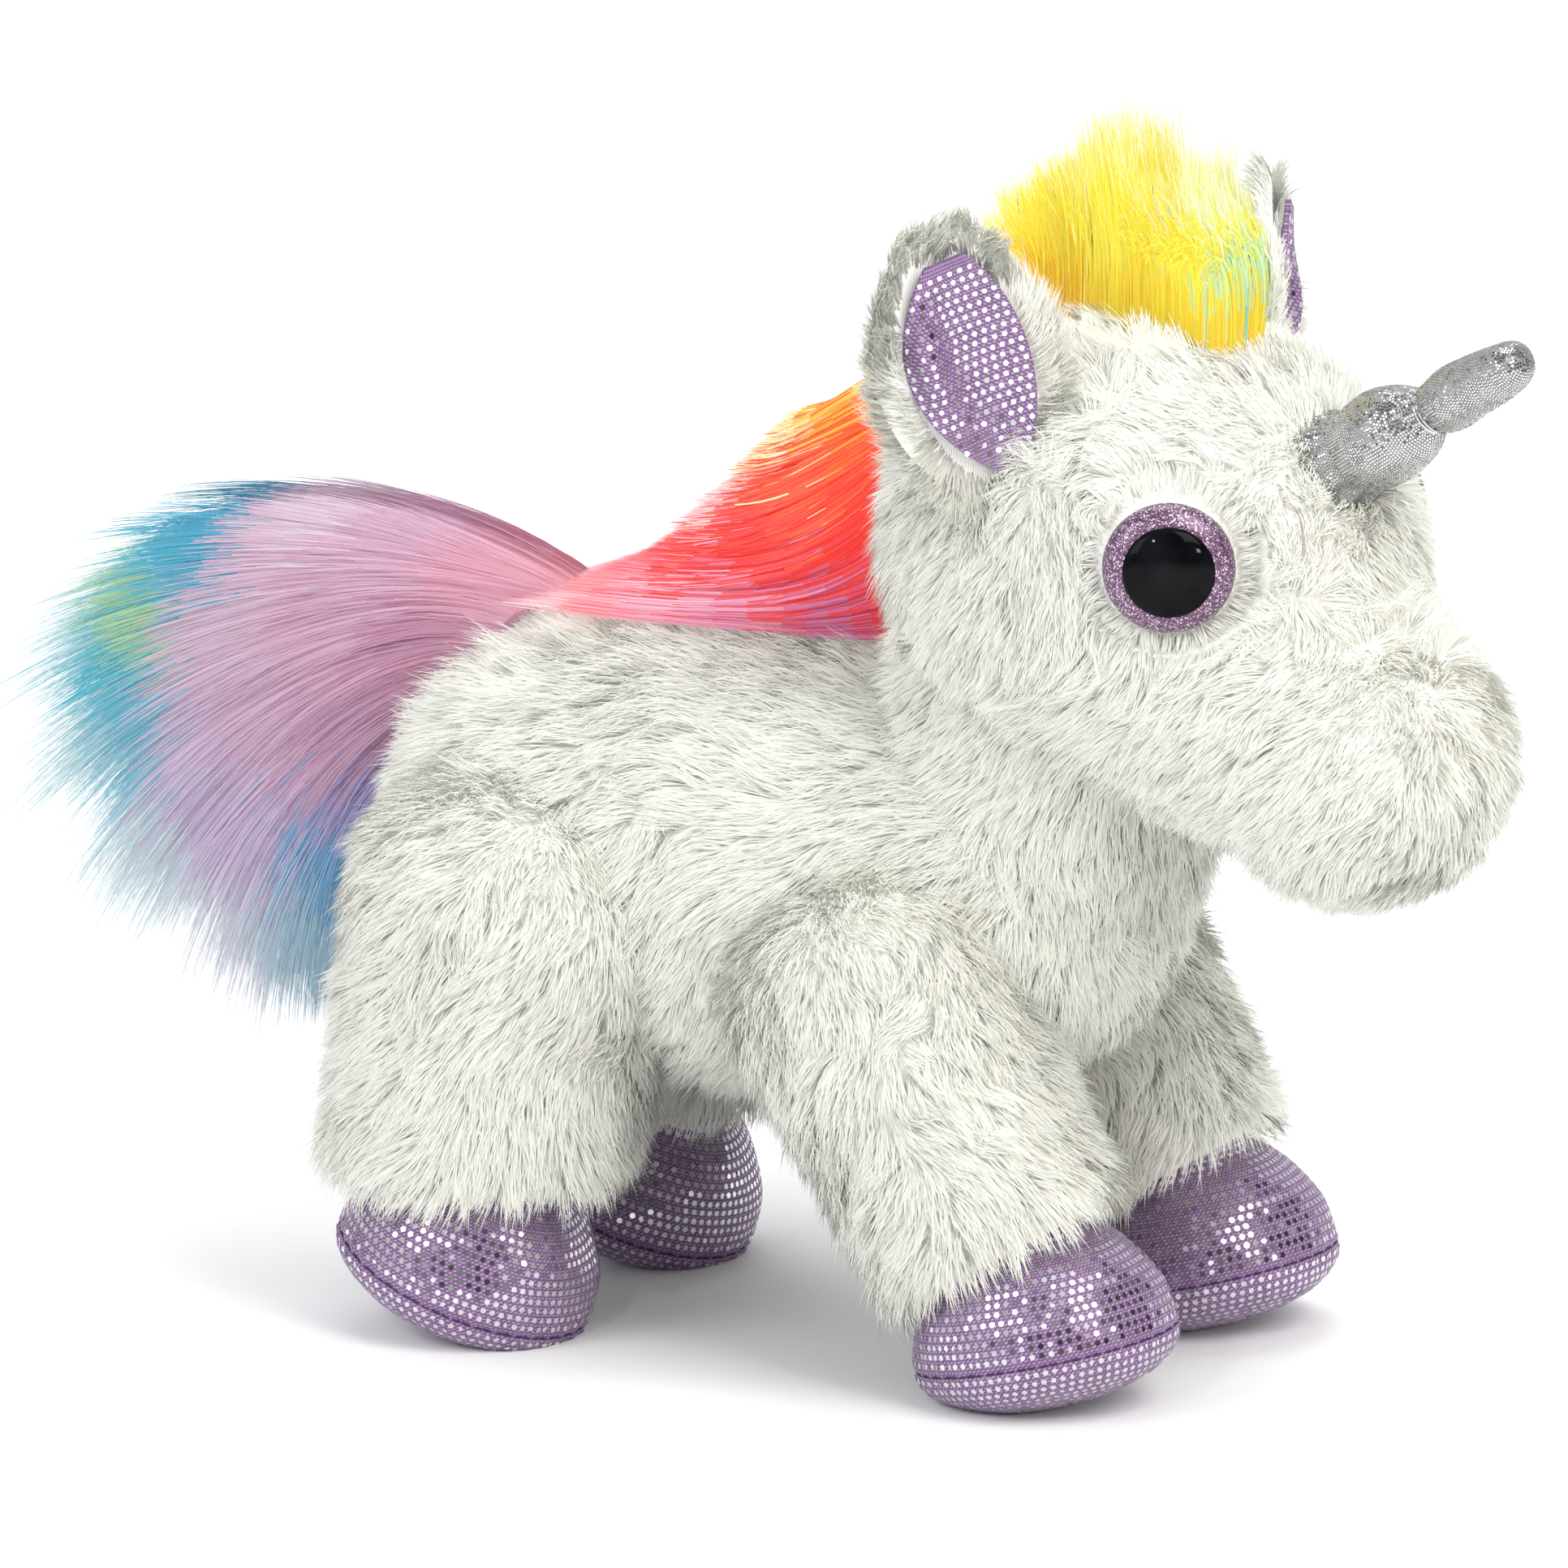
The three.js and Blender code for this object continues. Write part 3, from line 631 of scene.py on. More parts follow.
def fur(name, where, roots, normals, flow, length, rng, clump=5.6, salt=11):
    """White pile from roots on a skin, on the body or bodies that settle takes.

    flow is where the pile lies, for each root, and length is in millimetres. About a third of the strands cast
    shadows for all of them."""
    n = len(roots)
    wander = ripple(roots, 11.0, salt) * 0.50 + ripple(roots, 4.5, salt + 1) * 0.18
    centre, chance = nearest_clump(roots, clump, salt)
    tuft = unit(np.stack([np.cos(chance * 40), np.sin(chance * 57), np.cos(chance * 91)], -1))
    lie = flow + wander + tuft * 0.24
    lie = unit(lie - (lie * normals).sum(-1, keepdims=True) * normals)
    to_centre = centre - roots
    to_centre = to_centre - (to_centre * normals).sum(-1, keepdims=True) * normals
    grown = length * rng.uniform(0.72, 1.12, n) * (0.82 + 0.36 * chance)
    first = normals * 0.95 + lie * PILE_LEAN * 0.7
    last = normals * (0.05 + 0.45 * rng.random(n))[:, None] + lie * (0.65 + PILE_LEAN * 0.5)
    stray = rng.normal(size=(n, 3)) * 0.17
    s = np.linspace(0, 1, FUR_BENDS)[None, :, None]
    path = roots[:, None] + grown[:, None, None] * (
        first[:, None] * s + (last - first + stray)[:, None] * s**2 / 2
    )
    pull = (0.08 + 0.38 * rng.random(n))[:, None, None]
    path = path + to_centre[:, None] * pull * s**1.4
    along = unit(np.gradient(path, axis=1))
    across = unit(np.cross(along, normals[:, None]))
    out = unit(np.cross(across, along))
    roll = rng.uniform(-0.6, 0.6, n)[:, None, None]
    across = across * np.cos(roll) + out * np.sin(roll)
    taper = np.array([1.0, 0.95, 0.62, 0.0])[None, :]
    half = PILE_HALF_WIDTH * rng.uniform(0.75, 1.25, n)[:, None] * taper
    own = unit(np.cross(across, along))
    own = own * np.sign((own * normals[:, None]).sum(-1, keepdims=True) + 1e-9)
    facing = unit(normals[:, None] + own * 0.3)
    index = np.repeat(rng.choice(4, size=n, p=PILE_SHARES)[:, None], FUR_BENDS - 1, 1)
    parts = max(3, math.ceil(n / STRANDS_PER_PIECE))
    for part in range(parts):
        take = slice(part, n, parts)
        strands = [a[take] for a in (path, half, across, index)]
        piece = ribbons(f"{name}_{part + 1}", *strands, FUR_WHITES, "white_fur", facing[take])
        settle(piece if part * 3 < parts else translucent(piece), where)


def cull(points, hidden_by, deeper=5.0):
    """True for roots that no other shape buries."""
    keep = np.ones(len(points), bool)
    for other in hidden_by:
        keep &= SHAPES[other](points) > -deeper
    return keep


INSET = -1.0
STUFFING_INSET = -4.2

# ---- torso

torso_points = radial_skin(torso_shape, TORSO_MID, 120, offset=INSET)
plush("body_plush_skin", torso_points, "torso", "body_side_left", "body_side_right", "belly_gusset")
inside_points = radial_skin(torso_shape, TORSO_MID, 120, 40, 56, STUFFING_INSET - 2, 1.2, 5)
stuffing("body_fibre_filling", inside_points, "torso", "body_stuffing")


def body_flow(p):
    """The pile on the body lies down and a little back."""
    return np.broadcast_to([0.0, -0.45, -0.85], p.shape)


rng = np.random.default_rng(20)
roots = scatter(torso_points, FUR_PER_MM2, rng)
roots = roots[cull(roots, ["head", *LEG_NAMES])]
normals = gradient(torso_shape, roots)
length = PILE + 2.6 * smooth(0.3, 0.9, normals[:, 2])
fur("body_fur", "torso", roots, normals, body_flow(roots), length, rng)

# ---- legs


LEG_BEND = 14.0, 16.0  # above and below the hip, passed to settle with the torso and the leg, which doesn't use them


def build_leg(number, leg):
    _, hip, down, _ = leg_axes(leg)
    shape = SHAPES[leg]
    where = "torso", f"{leg}_leg", row(hip - down * LEG_BEND[0]), row(hip + down * LEG_BEND[1])
    middle = hip + down * 26
    points = radial_skin(shape, middle, 90, 72, 80, INSET)
    plush(f"{leg}_leg_plush_skin", points, where, f"{leg}_leg_cover")
    inner = radial_skin(shape, middle, 90, 32, 40, STUFFING_INSET - 1.5, 0.8, 7 + number)
    stuffing(f"{leg}_leg_fibre_filling", inner, where, f"{leg}_leg_stuffing")
    rng = np.random.default_rng(40 + number)
    roots = scatter(points, FUR_PER_MM2, rng)
    along = (roots - hip) @ down
    normals = gradient(shape, roots)
    keep = cull(roots, ["torso", "head"]) & (normals @ down < 0.55)
    roots, normals, along = roots[keep], normals[keep], along[keep]
    flow = np.broadcast_to(down * 0.9, roots.shape) + np.array([0, -0.15, 0])
    length = PILE + 1.4 * smooth(36, 54, along)
    fur(f"{leg}_leg_fur", where, roots, normals, flow, length, rng, salt=100 + number * 7)


for number, leg in enumerate(LEG_NAMES):
    build_leg(number, leg)

# ---- neck

neck_points = radial_skin(neck_shape, NECK, 90, 48, 64, INSET)
plush("neck_plush_skin", neck_points, "neck")
rng = np.random.default_rng(60)
roots = scatter(neck_points, FUR_PER_MM2, rng)
roots = roots[cull(roots, ["torso", "head"], 4.0)]
normals = gradient(neck_shape, roots)
low = roots[:, 2] < NECK[2]
for part, take, where in (
    ("lower", low, ("torso", "neck", row(NECK - UP * 26), row(NECK))),
    ("upper", ~low, ("neck", "head", row(NECK), row(NECK + UP * 22))),
):
    flow = body_flow(roots[take])
    fur(f"neck_fur_{part}", where, roots[take], normals[take], flow, PILE, rng, salt=150)
neck_inner = radial_skin(neck_shape, NECK, 90, 28, 36, STUFFING_INSET - 3, 0.8, 17)
stuffing("neck_fibre_filling", neck_inner, "neck", "neck_stuffing")

# ---- head

EYE_FACING = math.radians(52)
EYE_NORMAL = {
    side: unit(SIGN[side] * HEAD_SIDE * math.sin(EYE_FACING) + HEAD_AHEAD * math.cos(EYE_FACING))
    for side in SIDES
}
EYE_CENTRE = {side: sum(node_box(f"eye_{side}_washer")) / 2 + EYE_NORMAL[side] * 7.3 for side in SIDES}
EYE_SEAT = 16.0
HEAD_MID = on_head(0, 34, 38)


def head_skin_shape(p):
    """The head with a shallow seat sunk for each eye."""
    d = head_shape(p)
    for side in SIDES:
        q = p - EYE_CENTRE[side]
        out = q @ EYE_NORMAL[side]
        away = np.linalg.norm(q - out[..., None] * EYE_NORMAL[side], axis=-1)
        press = (out + 0.5) * (1 - smooth(11.5, EYE_SEAT, away))
        d = np.where((away < EYE_SEAT) & (out > -6), np.maximum(d, press), d)
    return d


head_points = radial_skin(head_skin_shape, HEAD_MID, 120, 110, 150, INSET - 0.6)
plush("head_plush_skin", head_points, "head", "head_side_left", "head_side_right", "head_gusset", fill=0.9)
head_inner = radial_skin(head_shape, HEAD_MID, 120, 44, 60, STUFFING_INSET - 4, 1.0, 23)
stuffing("head_fibre_filling", head_inner, "head", "head_stuffing", fill=0.85)

HORN_FOOT = pivot("horn_flex")


def head_flow(q):
    """The pile on the head lies back from the nose and down the cheeks."""
    back = -HEAD_AHEAD * 0.55
    down = -UP * 0.75
    local = in_head(q)
    top = smooth(40, 80, local[..., 2])[..., None]
    return back * (0.6 + 0.6 * top) + down * (1 - top)


rng = np.random.default_rng(80)
roots = scatter(head_points, FUR_PER_MM2, rng)
away = np.minimum.reduce([
    np.linalg.norm(np.cross(roots - EYE_CENTRE[s], EYE_NORMAL[s]), axis=-1)
    + np.where((roots - EYE_CENTRE[s]) @ EYE_NORMAL[s] > -14, 0, 99) for s in SIDES
])
horn_away = np.linalg.norm(roots - HORN_FOOT, axis=-1)
keep = cull(roots, ["torso"], 4.0) & (away > 12.3) & (horn_away > 8.0)
roots, away = roots[keep], away[keep]
normals = gradient(head_shape, roots)
local = in_head(roots)
snout = smooth(70, 95, local[:, 1])
length = (7.6 - 1.4 * snout) * (0.62 + 0.38 * smooth(12, 20, away))
flow = head_flow(roots)
for side in SIDES:
    q = roots - EYE_CENTRE[side]
    near = (1 - smooth(12, 21, np.linalg.norm(q, axis=-1)))[:, None]
    flow = flow * (1 - near) + unit(q) * near * 1.1
fur("head_fur", "head", roots, normals, flow, length, rng, salt=200)

# ------------------------------------------------------------------ eyes


def eye_axes(side):
    out = EYE_NORMAL[side]
    u = unit(np.cross(UP, out))
    return u, unit(np.cross(out, u)), out


def lathe(name, centre, axes, profile, sides, material, slot, wobble=None, share=1.0):
    """A turned skin: profile is pairs of radius and height along the third axis."""
    profile = np.asarray(profile, float)
    angle = np.linspace(0, 2 * math.pi, sides, endpoint=False)
    r = profile[:, :1] * np.ones(sides)
    h = profile[:, 1:] * np.ones(sides)
    if wobble is not None:
        r, h = wobble(r, h, angle)
    u, v, w = axes
    across = (r * np.cos(angle) * share)[..., None] * u + (r * np.sin(angle))[..., None] * v
    points = centre + across + h[..., None] * w
    step = run_lengths(profile)
    widest = profile[:, 0].max()
    uv = np.stack([np.broadcast_to(angle * widest, r.shape), np.broadcast_to(step[:, None], r.shape)], -1) * MM
    faces = grid_faces(len(profile), sides, True)
    obj = build(name, row(points.reshape(-1, 3)), [faces], [material], uv=uv.reshape(-1, 2))
    weld(obj)
    return obj


def run_lengths(outline):
    """How far along the outline each of its points is."""
    return np.concatenate([[0], np.cumsum(np.linalg.norm(np.diff(outline, axis=0), axis=1))])


def on_lathe(centre, axes, outline, wobble, share=1.0):
    """A function that turns a share of a turn and a length along the outline into a place on a turned skin."""
    lengths = run_lengths(outline)
    u, v, w = axes

    def surface(a, place):
        angle = a * 2 * math.pi
        r = np.full(np.shape(a), np.interp(place, lengths, outline[:, 0]))
        h = np.full(np.shape(a), np.interp(place, lengths, outline[:, 1]))
        r, h = wobble(r, h, angle)
        across = (r * np.cos(angle) * share)[..., None] * u + (r * np.sin(angle))[..., None] * v
        return centre + across + h[..., None] * w
    return surface


def curve_points(pairs, steps):
    """A smooth run through pairs of numbers."""
    pairs = np.asarray(pairs, float)
    out = []
    for i in range(len(pairs) - 1):
        a, b = pairs[max(i - 1, 0)], pairs[i]
        c, d = pairs[i + 1], pairs[min(i + 2, len(pairs) - 1)]
        for t in np.arange(steps) / steps:
            square, cube = 2 * a - 5 * b + 4 * c - d, 3 * b - a - 3 * c + d
            out.append(0.5 * (2 * b + (c - a) * t + square * t**2 + cube * t**3))
    out.append(pairs[-1])
    return np.array(out)


# pairs of radius and height
EYE_RING = curve_points([
    (3, -3), (10.4, -2.2), (12.0, -0.6), (12.1, 0.8), (11.3, 2.3), (9.6, 3.5), (8.5, 3.9), (8.2, 3.3),
    (4, 3.0), (0.01, 3.0),
], 5)
EYE_DOME = curve_points([
    (0.01, 3.1), (5, 3.1), (8.2, 3.2), (8.45, 3.9), (7.6, 4.7), (5.4, 5.6), (2.8, 6.15), (0.01, 6.3),
], 5)

for side in SIDES:
    place = EYE_CENTRE[side], eye_axes(side)
    glitter = lathe(f"eye_{side}_glitter_dome", *place, EYE_RING, 72, GLITTER, "eye_glitter")
    settle(glitter, "head", f"eye_{side}_glitter_ring")
    pupil = lathe(f"eye_{side}_black_dome", *place, EYE_DOME, 72, PUPIL, "eye_black")
    settle(pupil, "head", f"eye_{side}_pupil")

# ------------------------------------------------------------------ hooves

HOOF = {"radius": 25.0, "share": 0.95, "height": 25.0}
HOOF_SHAPES = {"front": {"tilt": 13.0, "dome": 11.0}, "hind": {"tilt": -23.0, "dome": 10.0}}
SOLE_POINTS = 22
SEAM_WAIST = 0.982  # how far the seam pulls the hoof in
DOT_PITCH = 1.75
DOT_RADIUS = 0.56


def hoof_axes(name):
    spec = HOOF_SHAPES[name.split("_")[0]]
    tilt = math.radians(spec["tilt"])
    centre = sum(node_box(f"{name}_hoof_seam_thread")) / 2
    ahead = np.array([0.0, math.cos(tilt), math.sin(tilt)])
    up = np.array([0.0, -math.sin(tilt), math.cos(tilt)])
    return spec, centre, (np.array([1.0, 0, 0]), ahead, up)


def hoof_outline(spec):
    """Pairs of radius and height from the sole's middle to the mouth at the cuff."""
    radius, dome = HOOF["radius"], spec["dome"]
    sole = [(radius * math.sin(t), -dome * math.cos(t) ** 0.9) for t in np.linspace(0.0001, 1.40, SOLE_POINTS)]
    seam = [(radius * 0.998, -0.9), (radius * SEAM_WAIST, 0.0), (radius, 0.9)]
    upper = [(radius * math.cos(t), HOOF["height"] * math.sin(t)) for t in np.linspace(0.09, 1.35, 26)]
    return np.array(sole + seam + upper)


def hoof_puff(name):
    """Soft puckers along the seam and a flat where the hoof rests on the ground."""
    _, centre, (_, v, w) = hoof_axes(name)

    def wobble(r, h, angle):
        near_seam = np.exp(-(h / 3.2) ** 2)
        pucker = 0.22 * np.sin(angle * 34 + 2 * np.sin(angle * 3)) * near_seam
        soft = 0.25 * np.sin(angle * 5 + h * 0.25) + 0.2 * np.sin(angle * 3 - h * 0.4 + 1)
        r = r + pucker + soft * smooth(0, 10, np.abs(h)) * (r > 3)
        height = centre[2] + (r * np.sin(angle)) * v[2] + h * w[2]
        return r, np.where(height < 0.15, h + (0.15 - height) / w[2], h)
    return wobble


def dots_on(surface, rows, name, outward, keep, seed, radius=DOT_RADIUS, rim_points=8, wobble=0.055):
    """Foil dots pressed on a cloth. surface(a, row) gives points; rows lists (row, how many dots, shift)."""
    rng = np.random.default_rng(seed)
    centres, normals = [], []
    e = 1e-3
    for place, count, shift in rows:
        a = (np.arange(count) + shift) / count
        p = surface(a, place)
        du = surface(a + e, place) - surface(a - e, place)
        dv = surface(a, place + e) - surface(a, place - e)
        n = unit(np.cross(du, dv))
        n = n * np.sign((n * outward(p)).sum(-1, keepdims=True) + 1e-9)
        ok = np.ones(count, bool) if keep is None else keep(p)
        centres.append(p[ok])
        normals.append(n[ok])
    c, n = np.concatenate(centres), np.concatenate(normals)
    n = unit(n + rng.normal(size=n.shape) * wobble)
    t = unit(np.cross(n, [0.31, 0.52, 0.79]))
    b = np.cross(t, n)  # drawing coordinates mirror the row frame
    m = rim_points
    angle = np.arange(m) * 2 * math.pi / m
    lift = radius * 0.06
    rim = (c[:, None] + n[:, None] * lift
           + radius * (np.cos(angle)[None, :, None] * t[:, None] + np.sin(angle)[None, :, None] * b[:, None]))
    top = c[:, None] + n[:, None] * lift * 2.2
    verts = np.concatenate([rim, top], 1)
    base = (np.arange(len(c)) * (m + 1))[:, None]
    k = np.arange(m)
    faces = np.stack([base + m + 0 * k, base + k, base + (k + 1) % m], -1).reshape(-1, 3)
    vertex_normals = np.repeat(n, m + 1, axis=0) * np.array([1.0, -1.0, 1.0])
    return build(name, row(verts.reshape(-1, 3)), [faces], [FOIL], normals=vertex_normals)


STITCH = {"count": 74, "length": 1.75, "thick": 0.26, "steps": 5, "ring": 6}


def stitches(name, centre, axes):
    """Short capsules of thread laid end to end round a hoof's seam."""
    u, v, w = axes
    radius, steps, ring = HOOF["radius"] * SEAM_WAIST, STITCH["steps"], STITCH["ring"]
    all_points, all_faces = [], []
    for i in range(STITCH["count"]):
        middle = 2 * math.pi * i / STITCH["count"]
        span = STITCH["length"] / radius / 2
        base = i * steps * ring
        for j in range(steps):
            t = j / (steps - 1)
            a = middle + span * (2 * t - 1)
            swell = math.sin(math.pi * (0.08 + 0.84 * t)) ** 0.5
            spoke = u * math.cos(a) * HOOF["share"] + v * math.sin(a)
            out = unit(spoke)
            c = centre + spoke * (radius + 0.12 * swell)
            for k in range(ring):
                b = 2 * math.pi * k / ring
                all_points.append(c + (out * math.cos(b) + w * math.sin(b)) * STITCH["thick"] * swell)
        for j in range(steps - 1):
            lower = base + j * ring
            for k in range(ring):
                m = (k + 1) % ring
                all_faces.append((lower + k, lower + m, lower + ring + m, lower + ring + k))
    obj = build(name, row(np.array(all_points)), [np.array(all_faces)], [THREAD])
    weld(obj, 0.000001)
    return obj


def bead_heap(name, inside, low, high, spacing, radius, seed):
    """Round pellets packed in a space: inside(points) is negative where they may lie."""
    rng = np.random.default_rng(seed)
    axes = [np.arange(a, b, spacing) for a, b in zip(low, high)]
    g = np.stack(np.meshgrid(*axes, indexing="ij"), -1)
    g[:, 1::2, :, 0] += spacing / 2
    g = g.reshape(-1, 3) + rng.normal(size=(g.size // 3, 3)) * spacing * 0.06
    g = g[inside(g) < -radius]
    ball = bmesh.new()
    bmesh.ops.create_icosphere(ball, subdivisions=1, radius=radius)
    verts = np.array([v.co[:] for v in ball.verts])
    tris = np.array([[v.index for v in f.verts] for f in ball.faces])
    ball.free()
    points = g[:, None] + verts[None] * rng.uniform(0.86, 1.0, len(g))[:, None, None]
    faces = (np.arange(len(g)) * len(verts))[:, None, None] + tris[None, :, ::-1]
    return build(name, row(points.reshape(-1, 3)), [faces.reshape(-1, 3)], [BEADS])


def build_hoof(number, leg):
    spec, centre, axes = hoof_axes(leg)
    body = f"{leg}_leg"
    outline = hoof_outline(spec)
    wobble = hoof_puff(leg)
    split = SOLE_POINTS + 1
    for part, run in (("upper", outline[split:]), ("sole", outline[:split + 1])):
        label = f"{leg}_hoof_satin_{part}"
        piece = lathe(label, centre, axes, run, 144, SATIN, "dotted_satin", wobble, HOOF["share"])
        settle(piece, body, f"{leg}_hoof_{part}", fill=0.9)
    lengths = run_lengths(outline)
    hoof_surface = on_lathe(centre, axes, outline, wobble, HOOF["share"])
    rows = []
    seam_at = lengths[split]
    for i, place in enumerate(np.arange(seam_at % DOT_PITCH + 0.4, lengths[-1], DOT_PITCH)):
        r = np.interp(place, lengths, outline[:, 0])
        if abs(place - seam_at) > 0.8 and r > 2:
            rows.append((place, int(2 * math.pi * r * 0.975 / DOT_PITCH), 0.5 * (i % 2)))

    def shows(p):
        return (SHAPES[leg](p) > -3.5) & (p[..., 2] > 0.2)

    label = f"{leg}_hoof_foil_dots"
    dots = dots_on(hoof_surface, rows, label, lambda p: p - centre, shows, 300 + number)
    settle(dots, body)
    settle(stitches(f"{leg}_hoof_seam_stitches", centre, axes), body, f"{leg}_hoof_seam_thread")

    def within(p):
        q = p - centre
        x, y, z = q @ axes[0] / HOOF["share"], q @ axes[1], q @ axes[2]
        tall = np.where(z > 0, HOOF["height"], spec["dome"])
        r = np.sqrt((x**2 + y**2) / HOOF["radius"] ** 2 + (z / tall) ** 2)
        return np.maximum((r - 1) * 12 + 1.6, 1.0 - p[..., 2])

    box = centre - 26, centre + 26
    beads = bead_heap(f"{leg}_hoof_pellet_weight", within, *box, 3.3, 1.5, 500 + number)
    settle(beads, body, f"{leg}_hoof_pellets")


for number, leg in enumerate(LEG_NAMES):
    build_hoof(number, leg)

low, high = node_box("belly_pellet_bag")
bag_mid, bag_half = (low + high) / 2, (high - low) / 2


def in_bag(p):
    return (np.linalg.norm((p - bag_mid) / bag_half, axis=-1) - 1) * 15 + 1.2


settle(bead_heap("belly_pellet_weight", in_bag, low, high, 3.6, 1.65, 600), "torso", "belly_pellet_bag")

# ------------------------------------------------------------------ horn

HORN_RISE = math.radians(31.5)
HORN_WAIST = 22.5
HORN_SIDE = unit(direction(JOINTS["horn_flex"]["axis"]))
HORN_OUT = HEAD_AHEAD * math.cos(HORN_RISE) + UP * math.sin(HORN_RISE)
HORN_AXES = (HORN_SIDE, unit(np.cross(HORN_SIDE, HORN_OUT)), HORN_OUT)
horn_outline = curve_points([
    (10.4, -4.5), (9.6, -1.5), (8.4, 2.2), (9.1, 7.5), (9.0, 12.0), (7.4, 17.5), (4.9, 21.4), (4.3, HORN_WAIST),
    (4.9, 23.8), (5.7, 28), (5.5, 34), (5.3, 40), (4.6, 44.6), (2.9, 47), (0.01, 47.7),
], 8)


def horn_wobble(r, h, angle):
    cinch = np.exp(-((h - HORN_WAIST) / 2.6) ** 2)
    skirt = np.exp(-((h + 1.5) / 3.4) ** 2)
    pleats = 0.30 * np.sin(angle * 13 + 1.5 * np.sin(angle * 2)) * cinch + 0.55 * np.sin(angle * 11) * skirt
    drape = 0.28 * np.sin(angle * 2 + h * 0.16) + 0.18 * np.sin(angle * 3 - h * 0.3)
    return r + (pleats + drape * 0.8) * (r > 0.5), h


horn = lathe("horn_silver_cloth", HORN_FOOT, HORN_AXES, horn_outline, 128, LAME, "silver_mesh", horn_wobble)
settle(horn, "horn", "horn_cover", fill=0.9)
HORN_CELL = 0.62
horn_steps = run_lengths(horn_outline)
horn_rows = []
for i, place in enumerate(np.arange(0.3, horn_steps[-1] - 0.5, HORN_CELL * 0.87)):
    around = 2 * math.pi * np.interp(place, horn_steps, horn_outline[:, 0])
    horn_rows.append((place, max(3, int(around / HORN_CELL)), 0.5 * (i % 2)))


def off_horn(p):
    q = p - HORN_FOOT
    return q - (q @ HORN_OUT)[..., None] * HORN_OUT * 0.9


horn_surface = on_lathe(HORN_FOOT, HORN_AXES, horn_outline, horn_wobble)
cells = dots_on(horn_surface, horn_rows, "horn_foil_cells", off_horn,
                None, 820, radius=0.225, rim_points=6, wobble=0.10)
settle(cells, "horn")
inner_outline = horn_outline * (0.84, 0.95) + (0, 0.8)
horn_inner = lathe("horn_fibre_filling", HORN_FOOT, HORN_AXES, inner_outline, 48, STUFFING, "stuffing")
settle(horn_inner, "horn", "horn_stuffing", fill=0.8)


def coil(name, centre, axes, radius, turns, pitch, thick, material):
    """Thread wound tight round a waist."""
    steps, ring = int(turns * 40), 8
    u, v, w = axes
    t = np.linspace(0, 1, steps)
    a = t * turns * 2 * math.pi
    c = centre + (radius * np.cos(a))[:, None] * u + (radius * np.sin(a))[:, None] * v
    c = c + (((t - 0.5) * turns * pitch) + 0.5 * np.sin(a * 0.5 + 1))[:, None] * w
    out = np.cos(a)[:, None] * u + np.sin(a)[:, None] * v
    b = np.arange(ring) * 2 * math.pi / ring
    points = c[:, None] + thick * (np.cos(b)[None, :, None] * out[:, None] + np.sin(b)[None, :, None] * w)
    first_ring = np.arange(ring)[None]
    caps = [first_ring, (steps - 1) * ring + first_ring[:, ::-1]]
    faces = [grid_faces(steps, ring, True), *caps]
    return build(name, row(points.reshape(-1, 3)), faces, [material])


SILVER_THREAD = foil_material("silver_thread", (0.72, 0.73, 0.76), 0.35)
waist = HORN_FOOT + HORN_OUT * HORN_WAIST
wound = coil("horn_wound_thread", waist, HORN_AXES, 4.45, 3.6, 0.42, 0.2, SILVER_THREAD)
settle(wound, "horn", "horn_thread")

# ------------------------------------------------------------------ ears

EAR_LENGTH = 50.0
LINING_WIDTH = 23.0
LINING_GRID = (80, 60)
DOTTED_HEIGHT = 40


def ear_axes(side):
    """The ear's own sideways, forward-facing and lengthwise axes."""
    across = unit(direction(JOINTS[f"ear_{side}_fold"]["axis"]))
    facing = -unit(np.cross(across, UP))
    tall = unit(np.cross(across, facing))
    return across, facing, tall * np.sign(tall[2])


def leaf_edges(t, side, width, low):
    """The leaf's two edges at a share t of its height, for an ear that leans toward the middle."""
    belly = np.sin(np.clip(t, 0, 1) * math.pi * 0.93 + 0.05) ** 0.62
    centre = SIGN[side] * width * 0.07 * np.sin(t * math.pi)
    half = width / 2 * belly
    half = np.maximum(half, low * (1 - t) ** 1.5)
    return centre - half, centre + half


def ear_plush(side):
    foot = pivot(f"ear_{side}_fold")
    across, facing, tall = ear_axes(side)

    def surface(s, t):
        """s goes once round the leaf's section, t goes from its foot to its tip."""
        left, right = leaf_edges(t, side, 34.0, 9.0)
        mid, half = (left + right) / 2, (right - left) / 2
        thick = 3.4 * np.sin(np.clip(t, 0.02, 0.98) * math.pi) ** 0.35
        x = mid + half * np.cos(s)
        deep = np.where(np.sin(s) > 0, 0.25, 1.0)
        y = thick * np.sin(s) * deep - 1.2 + 2.2 * (np.abs(np.cos(s)) ** 2) * np.sin(t * math.pi)
        z = -6 + t * (EAR_LENGTH + 6)
        return foot + x[..., None] * across + y[..., None] * facing + z[..., None] * tall
    return surface


